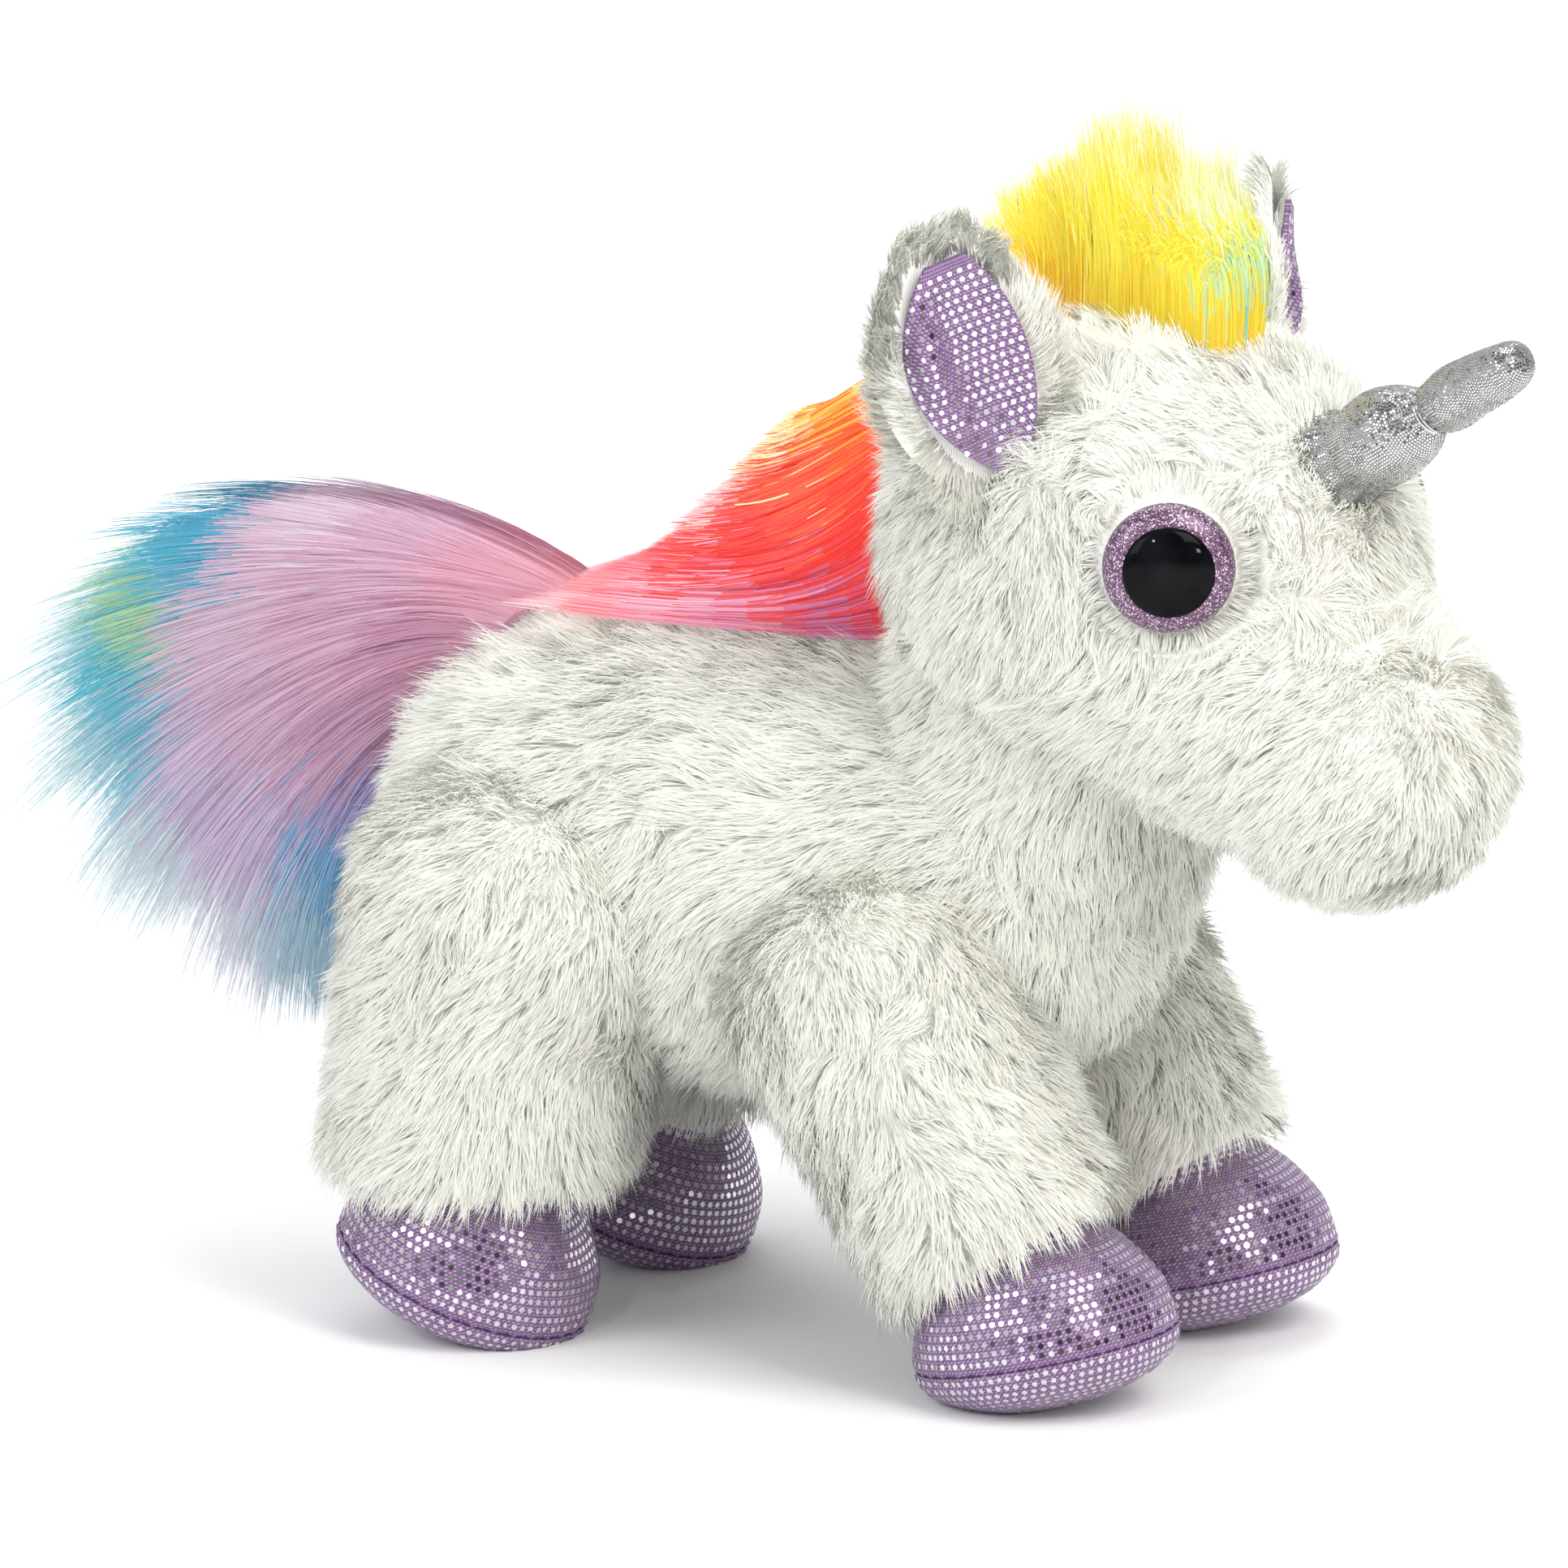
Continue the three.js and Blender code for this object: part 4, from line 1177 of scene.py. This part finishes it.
def build_ear(number, side):
    surface = ear_plush(side)
    ear = f"ear_{side}"
    foot = pivot(f"ear_{side}_fold")
    across, facing, tall = ear_axes(side)
    s = np.linspace(0, 2 * math.pi, 72, endpoint=False)[None, :]
    t = np.linspace(0, 1, 44)[:, None]
    points = surface(s + 0 * t, t + 0 * s)
    points[0], points[-1] = points[0].mean(0), points[-1].mean(0)
    plush(f"ear_{side}_plush_back", points, ear, f"ear_{side}_back", fill=0.5)
    rng = np.random.default_rng(700 + number)
    roots = scatter(points, FUR_PER_MM2 * 1.1, rng)
    q = roots - foot
    x, y, z = q @ across, q @ facing, q @ tall
    outward = roots - (foot + tall * (EAR_LENGTH * 0.45))
    sign = SIGN[side]
    lining_half = 11.4 * np.sin(np.clip((z - 1) / 46, 0, 1) * math.pi) ** 0.5
    lined = (y > -0.6) & (z > 2) & (z < 44.5) & (np.abs(x - sign * 1.5) < lining_half)
    keep = ~lined & cull(roots, ["head"], 4.0)
    roots, outward, y = roots[keep], outward[keep], y[keep]
    flat = outward - (outward @ facing)[:, None] * facing
    edge = np.clip(np.linalg.norm(flat, axis=-1) / 17.0, 0, 1) ** 3
    broad = np.where(y[:, None] > -1.2, facing, -facing)
    normals = unit(broad * (1.05 - edge)[:, None] + unit(flat) * edge[:, None])
    flow = unit(flat) * 0.5 + tall * 0.35
    fur(f"ear_{side}_fur", ear, roots, normals, flow, 7.5, rng, clump=5.0, salt=720 + number)

    def lining_surface(a, t):
        """A leaf with its inner edge folded over: a goes across it, t from its foot to its tip."""
        left, right = leaf_edges(t, side, LINING_WIDTH, 1.5)
        x = left + (right - left) * a
        share = 1 - a if sign < 0 else a
        dish = -2.0 * np.sin(np.clip(a, 0, 1) * math.pi) * np.sin(t * math.pi)
        fold = 3.0 * np.exp(-((share - 0.80) / 0.13) ** 2) * np.exp(-((t - 0.58) / 0.22) ** 2)
        curl = -2.2 * smooth(0.86, 1.0, share) * np.exp(-((t - 0.58) / 0.25) ** 2)
        y = 2.9 + dish + fold + curl
        z = 3.0 + t * 42.0
        return foot + x[..., None] * across + y[..., None] * facing + z[..., None] * tall

    tall_count, wide_count = LINING_GRID
    a = np.linspace(0, 1, wide_count)[None, :]
    t = np.linspace(0.0, 1, tall_count)[:, None]
    top = lining_surface(a + 0 * t, t + 0 * a)
    back = top - facing * 1.1
    count = tall_count * wide_count
    front_faces = grid_faces(tall_count, wide_count, False)
    back_faces = front_faces[:, ::-1] + count
    number_at = np.arange(count).reshape(LINING_GRID)
    edge = np.concatenate([number_at[0], number_at[1:, -1], number_at[-1, -2::-1], number_at[-2:0:-1, 0]])
    following = np.roll(edge, -1)
    rim = np.stack([edge, edge + count, following + count, following], -1)
    uv = np.stack([(a + 0 * t) * LINING_WIDTH, (t + 0 * a) * DOTTED_HEIGHT], -1).reshape(-1, 2) * MM
    both = np.concatenate([top.reshape(-1, 3), back.reshape(-1, 3)])
    lining = build(
        f"ear_{side}_satin_lining", row(both), [front_faces, back_faces, rim], [SATIN],
        uv=np.concatenate([uv, uv]),
    )
    weld(lining, 0.000001)
    settle(lining, ear, f"ear_{side}_lining")
    rows = []
    for i, place in enumerate(np.arange(0.06, 0.97, DOT_PITCH / DOTTED_HEIGHT)):
        left, right = leaf_edges(np.array(place), side, LINING_WIDTH, 1.5)
        rows.append((place, max(1, int((right - left) / DOT_PITCH)), 0.5 if i % 2 else 0.25))

    def ear_surface(a, place):
        return lining_surface(np.asarray(a, float), np.full(np.shape(a), float(place)))

    label = f"ear_{side}_foil_dots"
    settle(dots_on(ear_surface, rows, label, lambda p: facing, None, 760 + number), ear)


for number, side in enumerate(SIDES):
    build_ear(number, side)

# ------------------------------------------------------------------ coloured hair

# shares that darken each bunch's dyes: painted shade for the shadows that these strands don't cast
HAIR_PAINTED_SHADE = {"crown_mane": 0.76, "neck_mane": 0.86, "tail_hair": 0.62}


def hair_material(slot_name, number, colour):
    """Dyed pile. Each colour is darkened by a share for its bunch: painted shade, standing in for the shadows
    that these strands don't cast.
    """
    name = f"{slot_name}_{number}"
    if name in bpy.data.materials:
        return bpy.data.materials[name]
    colour = tuple(HAIR_PAINTED_SHADE[slot_name] * part for part in colour)
    return fibre_material(name, colour, 0.6, 0.1, 0.25)


def coloured(points, palette, rng, sharp=6.0, blur=3.0):
    """For each segment, the palette entry picked by how near its place is, the same way along one strand."""
    places = np.array([place for place, _ in palette], float)
    points = points + rng.normal(size=(len(points), 1, points.shape[-1])) * blur
    d = np.linalg.norm(points[:, :, None, :] - places[None, None], axis=-1)
    weight = 1 / np.maximum(d, 2.0) ** sharp
    weight = np.cumsum(weight, -1)
    weight /= weight[..., -1:]
    draw = rng.random(len(points))[:, None, None]
    return (weight < draw).sum(-1)


def hair_sides(paths, rng, grain=0.35):
    """Turns flat strands broadside to the outside of their own bunch: their side and face directions."""
    centre, spread = paths.mean(0), paths.std(0) + 2.0
    along = unit(np.gradient(paths, axis=1))
    out = unit((paths - centre) / spread**2) + rng.normal(size=(len(paths), 1, 3)) * grain
    across = unit(np.cross(along, out))
    face = unit(np.cross(across, along))
    return across, face * np.sign((face * out).sum(-1, keepdims=True) + 1e-9)


def front_view(p):
    """Forward and up, the two numbers that the mane's and the tail's palettes are laid out in."""
    return p[..., 1:]


def hair(name, paths, palette, slot_name, rng, half, taper, place=front_view, overlap=0.0):
    """Long strands: paths is (n, k, 3), and place turns points into the palette's own two numbers.

    A strand that is cut in two has a root half, which runs on by overlap into the other half."""
    across, facing = hair_sides(paths, rng)
    widths = half * rng.uniform(0.7, 1.3, len(paths))[:, None] * taper[None]
    if overlap:
        extra = paths[:, -1:] + (paths[:, -1:] - paths[:, -2:-1]) * overlap
        paths = np.concatenate([paths, extra], 1)
        across, facing, widths = (np.concatenate([v, v[:, -1:]], 1) for v in (across, facing, widths))
    middles = (paths[:, 1:] + paths[:, :-1]) / 2
    index = coloured(place(middles), palette, rng)
    materials = [hair_material(slot_name, i, colour) for i, (_, colour) in enumerate(palette)]
    return translucent(ribbons(name, paths, widths, across, index, materials, slot_name, facing))


def tapered(steps, start, power, loss):
    """Each point's share of a strand's width: full up to start, then thinner by loss at the tip."""
    t = np.linspace(0, 1, steps)
    return 1 - np.clip((t - start) / (1 - start), 0, 1) ** power * loss


def bezier(a, b, c, d, steps):
    s = np.linspace(0, 1, steps)[None, :, None]
    a, b, c, d = (v[:, None] for v in (a, b, c, d))
    return a * (1 - s) ** 3 + 3 * b * s * (1 - s) ** 2 + 3 * c * s**2 * (1 - s) + d * s**3


def locks(t, count, salt):
    """Gathers a share from 0 to 1 toward the middle of its lock, with a chance number for each lock."""
    at = t * count
    number = np.floor(at)
    chance = cell_hash(np.stack([number, number * 0, number * 0], -1), salt)
    middle = (number + 0.5 + 0.5 * (chance - 0.5)) / count
    return middle, chance


def interp(t, table):
    table = np.asarray(table, float)
    knots = np.linspace(0, 1, len(table))
    return np.stack([np.interp(t, knots, table[:, i]) for i in range(table.shape[1])], -1)


def crown_hair():
    rng = np.random.default_rng(900)
    n = 14000
    t = rng.random(n)
    side = rng.uniform(-1, 1, n)
    gather, chance = locks(t + side * 0.04, 17, 901)
    tip_t = np.clip(t + (gather - t) * 0.8 + rng.normal(size=n) * 0.02, 0, 1)
    roots = interp(t, [(46, 90), (42, 91), (35, 90), (26, 89.5), (14, 87.5), (2, 83), (-7, 79)])
    tips = interp(tip_t, [(46, 106), (41, 117), (35, 124), (22, 126), (10, 121), (-5, 111), (-17, 99)])
    height = rng.uniform(0.42, 1.04, n) * (0.66 + 0.50 * chance)
    hairline = roots + np.stack([rng.normal(size=n) for _ in range(2)], -1) * 1.6 - (0, 4)
    a = on_head(side * 5.5, hairline[:, 0], hairline[:, 1])
    reach = roots + (tips - roots) * height[:, None]
    spread = (side * 7 + (chance - 0.5) * 8 + rng.normal(size=n) * 1.0)
    d = on_head(spread, reach[:, 0] + rng.normal(size=n) * 0.8, reach[:, 1])
    b = a + UP * 16 + HEAD_AHEAD * 2.5 + HEAD_SIDE * (side * 2.5)[:, None]
    c = (a + d) / 2 + UP * 11 + HEAD_AHEAD * 1.0
    paths = bezier(a, b, c, d, 8)
    palette = [
        ((52, 88), (0.98, 0.74, 0.05)), ((30, 90), (1.0, 0.78, 0.05)), ((5, 87), (1.0, 0.66, 0.04)),
        ((42, 104), (1.0, 0.88, 0.08)), ((22, 108), (1.0, 0.88, 0.08)), ((4, 104), (1.0, 0.86, 0.08)),
        ((31, 120), (1.0, 0.94, 0.35)), ((12, 120), (1.0, 0.93, 0.32)), ((-10, 104), (1.0, 0.92, 0.36)),
        ((58, 90), (0.22, 0.66, 0.62)), ((52, 101), (0.60, 0.84, 0.50)), ((44, 114), (0.88, 0.94, 0.60)),
        ((24, 131), (1.0, 0.98, 0.75)), ((4, 129), (1.0, 0.98, 0.75)), ((42, 128), (0.98, 0.98, 0.78)),
    ]
    taper = tapered(paths.shape[1], 0.6, 1.3, 0.85)

    def place(p):
        return front_view(in_head(p))

    obj = hair("crown_mane_strands", paths, palette, "crown_mane", rng, 0.14, taper, place)
    settle(obj, "head", "crown_mane_hair")


crown_hair()


def cut_at(paths, forward, steps):
    """Splits strands that run backward where they cross a plane, and spaces each part evenly."""
    n, k, _ = paths.shape
    f = paths[..., 1]
    crossed = (f > forward).sum(1).clip(1, k - 1)
    i = np.arange(n)
    f0, f1 = f[i, crossed - 1], f[i, crossed]
    share = np.clip((f0 - forward) / np.maximum(f0 - f1, 1e-6), 0, 1)
    at = (crossed - 1 + share) / (k - 1)

    def resample(start, end):
        s = start[:, None] + (end - start)[:, None] * np.linspace(0, 1, steps)[None]
        x = s * (k - 1)
        j = np.clip(np.floor(x).astype(int), 0, k - 2)
        frac = (x - j)[..., None]
        return paths[i[:, None], j] * (1 - frac) + paths[i[:, None], j + 1] * frac

    return resample(np.zeros(n), at), resample(at, np.ones(n))


NECK_PALETTE = [
    ((4, 187), (1.0, 0.70, 0.10)), ((-6, 179), (1.0, 0.58, 0.08)), ((-20, 171), (1.0, 0.88, 0.55)),
    ((0, 171), (1.0, 0.17, 0.05)), ((4, 160), (1.0, 0.085, 0.06)), ((-14, 160), (1.0, 0.15, 0.08)),
    ((-2, 149), (1.0, 0.07, 0.06)), ((-20, 149), (1.0, 0.09, 0.08)), ((-38, 144), (1.0, 0.14, 0.14)),
    ((2, 141), (0.92, 0.09, 0.14)), ((-18, 142), (1.0, 0.12, 0.14)), ((-54, 139), (1.0, 0.40, 0.44)),
    # The darker magenta at (-4, 136), beside the head, is partly the hair's own magenta and partly painted
    # shade.
    ((-4, 136), (0.72, 0.22, 0.42)), ((-22, 137), (0.88, 0.38, 0.54)), ((-40, 137), (0.95, 0.50, 0.62)),
    ((-38, 157), (1.0, 0.66, 0.66)), ((-66, 136), (0.98, 0.74, 0.79)),
]


def neck_hair():
    rng = np.random.default_rng(930)
    n = 15000
    t = rng.random(n) ** 0.9
    side = rng.uniform(-1, 1, n)
    gather, chance = locks(t + side * 0.05, 22, 931)
    tip_t = np.clip(t + (gather - t) * 0.7, 0, 1)
    roots = interp(t, [(11, 189), (6, 181), (3, 172), (1.5, 162), (2, 152), (4, 143), (8, 134)])
    tips = interp(tip_t, [(-20, 170), (-29, 161), (-48, 142), (-64, 136), (-69, 134), (-67, 133), (-56, 133)])
    reach = roots + (tips - roots) * (rng.uniform(0.80, 1.06, n) * (0.9 + 0.2 * chance))[:, None]
    lateral_root = side * 7.5
    lateral_tip = side * (3 + 11 * t) + (chance - 0.5) * 9 + rng.normal(size=n) * 1.0
    lateral_mid = side * (10 + 10 * t) + (chance - 0.5) * 5
    a = np.stack([lateral_root, roots[:, 0] + 5, roots[:, 1]], -1)
    d = np.stack([lateral_tip, reach[:, 0], reach[:, 1]], -1)
    drop = 3 + 15 * smooth(0.10, 0.45, t)
    b = np.stack([lateral_mid * 0.8, roots[:, 0] - 9, np.maximum(roots[:, 1] - drop, reach[:, 1])], -1)
    above = reach[:, 1] + 1.0 + (roots[:, 1] - reach[:, 1]) * 0.02
    c = np.stack([lateral_mid, roots[:, 0] * 0.5 + reach[:, 0] * 0.5 - 3, above], -1)
    paths = bezier(a, b, c, d, 14)
    low = torso_shape(paths)
    lift = np.clip(2.2 - low, 0, 30) * (paths[..., 2] > 112)
    paths = paths + lift[..., None] * UP
    near, far = cut_at(paths, -13.0, 7)
    root = "neck", "head", row((0, -9, 150)), row((0, 6, 150))
    fall = "torso", "neck", row((0, -52, 140)), row((0, -17, 140))
    for part, run, where, taper, overlap, nodes in (
        ("root", near, root, np.ones(7), 0.8, ["neck_mane_hair"]),
        ("fall", far, fall, tapered(7, 0.3, 1.3, 0.85), 0.0, []),
    ):
        draw = np.random.default_rng(932)
        label = f"neck_mane_{part}"
        settle(hair(label, run, NECK_PALETTE, "neck_mane", draw, 0.15, taper, overlap=overlap), where, *nodes)


neck_hair()

TAIL_PALETTE = [
    ((-68, 145), (0.96, 0.45, 0.53)), ((-78, 140), (0.90, 0.47, 0.62)), ((-92, 146), (0.86, 0.55, 0.72)),
    ((-90, 118), (0.70, 0.36, 0.52)), ((-108, 126), (0.80, 0.50, 0.66)), ((-122, 138), (0.84, 0.60, 0.76)),
    ((-105, 104), (0.70, 0.42, 0.60)), ((-122, 106), (0.76, 0.52, 0.70)), ((-132, 122), (0.80, 0.60, 0.76)),
    ((-136, 139), (0.10, 0.50, 0.72)), ((-146, 133), (0.12, 0.56, 0.76)), ((-150, 123), (0.48, 0.76, 0.46)),
    ((-156, 112), (0.12, 0.58, 0.74)), ((-148, 99), (0.25, 0.64, 0.80)), ((-138, 98), (0.72, 0.60, 0.80)),
    ((-128, 82), (0.74, 0.60, 0.82)), ((-104, 76), (0.25, 0.55, 0.86)), ((-97, 86), (0.52, 0.46, 0.80)),
    ((-112, 62), (0.55, 0.78, 0.92)), ((-146, 72), (0.75, 0.88, 0.94)), ((-164, 96), (0.68, 0.88, 0.92)),
    ((-165, 116), (0.55, 0.82, 0.90)), ((-128, 62), (0.82, 0.84, 0.94)), ((-118, 147), (0.93, 0.76, 0.88)),
]
TAIL_PIECES = 3


def tail_hair():
    rng = np.random.default_rng(960)
    n = 34000
    t = rng.random(n)
    depth = rng.random(n)
    side = rng.uniform(-1, 1, n)
    gather, chance = locks(t + side * 0.045, 44, 961)
    tip_t = np.clip(t + (gather - t) * 0.7 + rng.normal(size=n) * 0.018, 0, 1)
    roots = interp(t, [(-64, 134), (-69, 134), (-76, 131), (-81, 126), (-85, 119), (-88, 111), (-90, 103)])
    tips = interp(tip_t, [
        (-98, 145), (-122, 144), (-144, 139), (-160, 128), (-170, 113), (-172, 98), (-168, 82),
        (-158, 70), (-146, 61), (-134, 53), (-124, 47), (-113, 47), (-105, 56),
    ])
    length = np.where(depth < 0.45, rng.uniform(0.80, 1.06, n), rng.uniform(0.40, 0.92, n))
    length = length * (0.88 + 0.22 * chance)
    fan = np.sin(np.clip(t, 0, 1) * math.pi) ** 0.5
    a = np.stack([side * 9 * (0.6 + 0.4 * fan), roots[:, 0] + 5, roots[:, 1] - 1], -1)
    out = tips - roots
    end = roots + out * length[:, None]
    lateral = side * (7 + 12 * fan) * (0.75 + 0.5 * rng.random(n)) + (chance - 0.5) * 7
    d = np.stack([lateral, end[:, 0], end[:, 1]], -1)
    first = interp(t, [
        (-0.85, 0.55), (-1.0, 0.45), (-1.0, 0.35), (-1.0, 0.2), (-1.0, -0.05), (-0.9, -0.3), (-0.7, -0.6),
    ])
    size = np.linalg.norm(out, axis=-1) * length
    b = a + np.stack([side * 4, first[:, 0] * size * 0.38, first[:, 1] * size * 0.38], -1)
    c = (a + d) / 2 + np.stack([side * 4, -size * 0.13, size * 0.07], -1) + (d - a) * 0.18
    paths = bezier(a, b, c, d, 10)
    below = np.clip(3.0 - torso_shape(paths), 0, 30)
    paths[..., 1] -= below * smooth(0, 0.25, np.linspace(0, 1, 10))[None]
    taper = tapered(paths.shape[1], 0.5, 1.2, 0.88)
    for part in range(TAIL_PIECES):
        strands = paths[part::TAIL_PIECES]
        draw = np.random.default_rng(970 + part)
        obj = hair(f"tail_hair_{part + 1}", strands, TAIL_PALETTE, "tail_hair", draw, 0.14, taper)
        settle(obj, "tail", *(["tail_hair"] if part == 0 else []))


tail_hair()

# ------------------------------------------------------------------ what stays from CAD

for name, obj in frame["nodes"].items():
    if obj.hide_render:
        continue
    material = WASHER_PLASTIC if "washer" in name else WEBBING
    obj.data.materials.clear()
    obj.data.materials.append(material)

# ------------------------------------------------------------------ floor, light and camera

# metres
FLOOR_SIZE, FLOOR_DEPTH, CURVE, WALL_HEIGHT = 6.0, 2.2, 1.2, 5.0


def backdrop():
    """A floor that curves up into a wall far behind, in one sheet."""
    turns = np.linspace(0.1, math.pi / 2, 14)
    profile = [(-FLOOR_SIZE, 0.0), (FLOOR_DEPTH, 0.0)]
    profile += [(FLOOR_DEPTH + CURVE * math.sin(a), CURVE - CURVE * math.cos(a)) for a in turns]
    profile += [(FLOOR_DEPTH + CURVE, WALL_HEIGHT)]
    away = unit(np.array([0.8645, 0.4405, 0.0]))
    side = np.array([-away[1], away[0], 0])
    edges = [-FLOOR_SIZE, FLOOR_SIZE]
    points = np.array([[away * d + side * w + np.array([0, 0, h]) for w in edges] for d, h in profile])
    paper, p = mottled_material(
        "studio_paper", (0.93, 0.93, 0.93), 0.9, 40.0,
        (0.3, (0.925, 0.925, 0.925)), (0.7, (0.935, 0.935, 0.935)), Detail=3.0,
    )
    p.inputs["Specular IOR Level"].default_value = 0.1
    sheet = build("studio_floor", points.reshape(-1, 3), [grid_faces(len(profile), 2, False)], [paper])


backdrop()

AZIMUTH, ELEVATION = math.radians(-63.0), math.radians(14.0)
TARGET = np.array([0.019, 0.0154, 0.096])  # metres, as are the camera's and the lights' places
DISTANCE = 8.0
VIEW_WIDTH = 0.290

# azimuth 0 looks along +Y, and a negative azimuth moves the camera toward -X
toward_camera = np.array([
    math.sin(AZIMUTH) * math.cos(ELEVATION), -math.cos(AZIMUTH) * math.cos(ELEVATION), math.sin(ELEVATION),
])
camera_data = bpy.data.cameras.new("camera")
camera_data.sensor_width = 36.0
camera_data.lens = 36.0 * DISTANCE / VIEW_WIDTH
camera_data.clip_end = 50.0
camera = bpy.data.objects.new("camera", camera_data)
bpy.context.scene.collection.objects.link(camera)
camera.location = Vector(TARGET + toward_camera * DISTANCE)
camera.rotation_euler = Vector(-toward_camera).to_track_quat("-Z", "Y").to_euler()
bpy.context.scene.camera = camera


def area_light(name, place, size, power, colour=(1, 1, 1)):
    data = bpy.data.lights.new(name, "AREA")
    data.shape = "RECTANGLE"
    data.size, data.size_y = size
    data.energy = power
    data.color = colour
    light = bpy.data.objects.new(name, data)
    bpy.context.scene.collection.objects.link(light)
    light.location = Vector(place)
    aim = Vector(TARGET) - Vector(place)
    light.rotation_euler = aim.to_track_quat("-Z", "Y").to_euler()


camera_right = np.array([math.cos(AZIMUTH), math.sin(AZIMUTH), 0.0])
camera_near = unit([toward_camera[0], toward_camera[1], 0.0])


def around_camera(right, up, near):
    """A place in metres to the right of the target, above it and nearer to the camera."""
    return TARGET + camera_right * right + np.array([0, 0, up]) + camera_near * near


area_light("key_softbox", around_camera(0.75, 1.15, 0.95), (0.9, 0.9), 14.0, (1.0, 0.985, 0.96))
area_light("fill_softbox", around_camera(-1.1, 0.75, 0.9), (0.8, 0.8), 7.0, (0.96, 0.98, 1.0))
area_light("top_softbox", around_camera(0.0, 1.6, -0.5), (1.2, 1.2), 12.0)
area_light("catch_light_high", around_camera(-0.55, 0.95, 1.6), (0.10, 0.10), 3.0)
area_light("catch_light_warm", around_camera(1.15, 0.55, 1.5), (0.20, 0.16), 4.0, (1.0, 0.93, 0.80))


def studio_world():
    """White surroundings; what shines sees dark gaps between the white panels, as in a studio."""
    world = bpy.data.worlds.new("studio")
    bpy.context.scene.world = world
    world.use_nodes = True
    tree = world.node_tree
    tree.nodes.clear()
    out = tree.nodes.new("ShaderNodeOutputWorld")
    plain = add_node(tree, "ShaderNodeBackground", Strength=0.74)
    plain.inputs["Color"].default_value = (0.98, 0.99, 1.0, 1)
    panels = add_node(tree, "ShaderNodeBackground", Strength=0.9)
    coord = tree.nodes.new("ShaderNodeTexCoord")
    cells = texture(tree, "Voronoi", coord.outputs["Generated"], Scale=1.6)
    split = tree.nodes.new("ShaderNodeSeparateColor")
    tree.links.new(cells.outputs["Color"], split.inputs[0])
    shades = ramp(tree, split.outputs[0], (0.56, (0.03, 0.03, 0.03)), (0.62, (1.0, 1.0, 1.0)))
    tree.links.new(shades, panels.inputs["Color"])
    path = tree.nodes.new("ShaderNodeLightPath")
    mix = tree.nodes.new("ShaderNodeMixShader")
    tree.links.new(path.outputs["Is Glossy Ray"], mix.inputs[0])
    tree.links.new(plain.outputs[0], mix.inputs[1])
    tree.links.new(panels.outputs[0], mix.inputs[2])
    tree.links.new(mix.outputs[0], out.inputs["Surface"])


studio_world()
bpy.context.scene.view_settings.view_transform = "Standard"
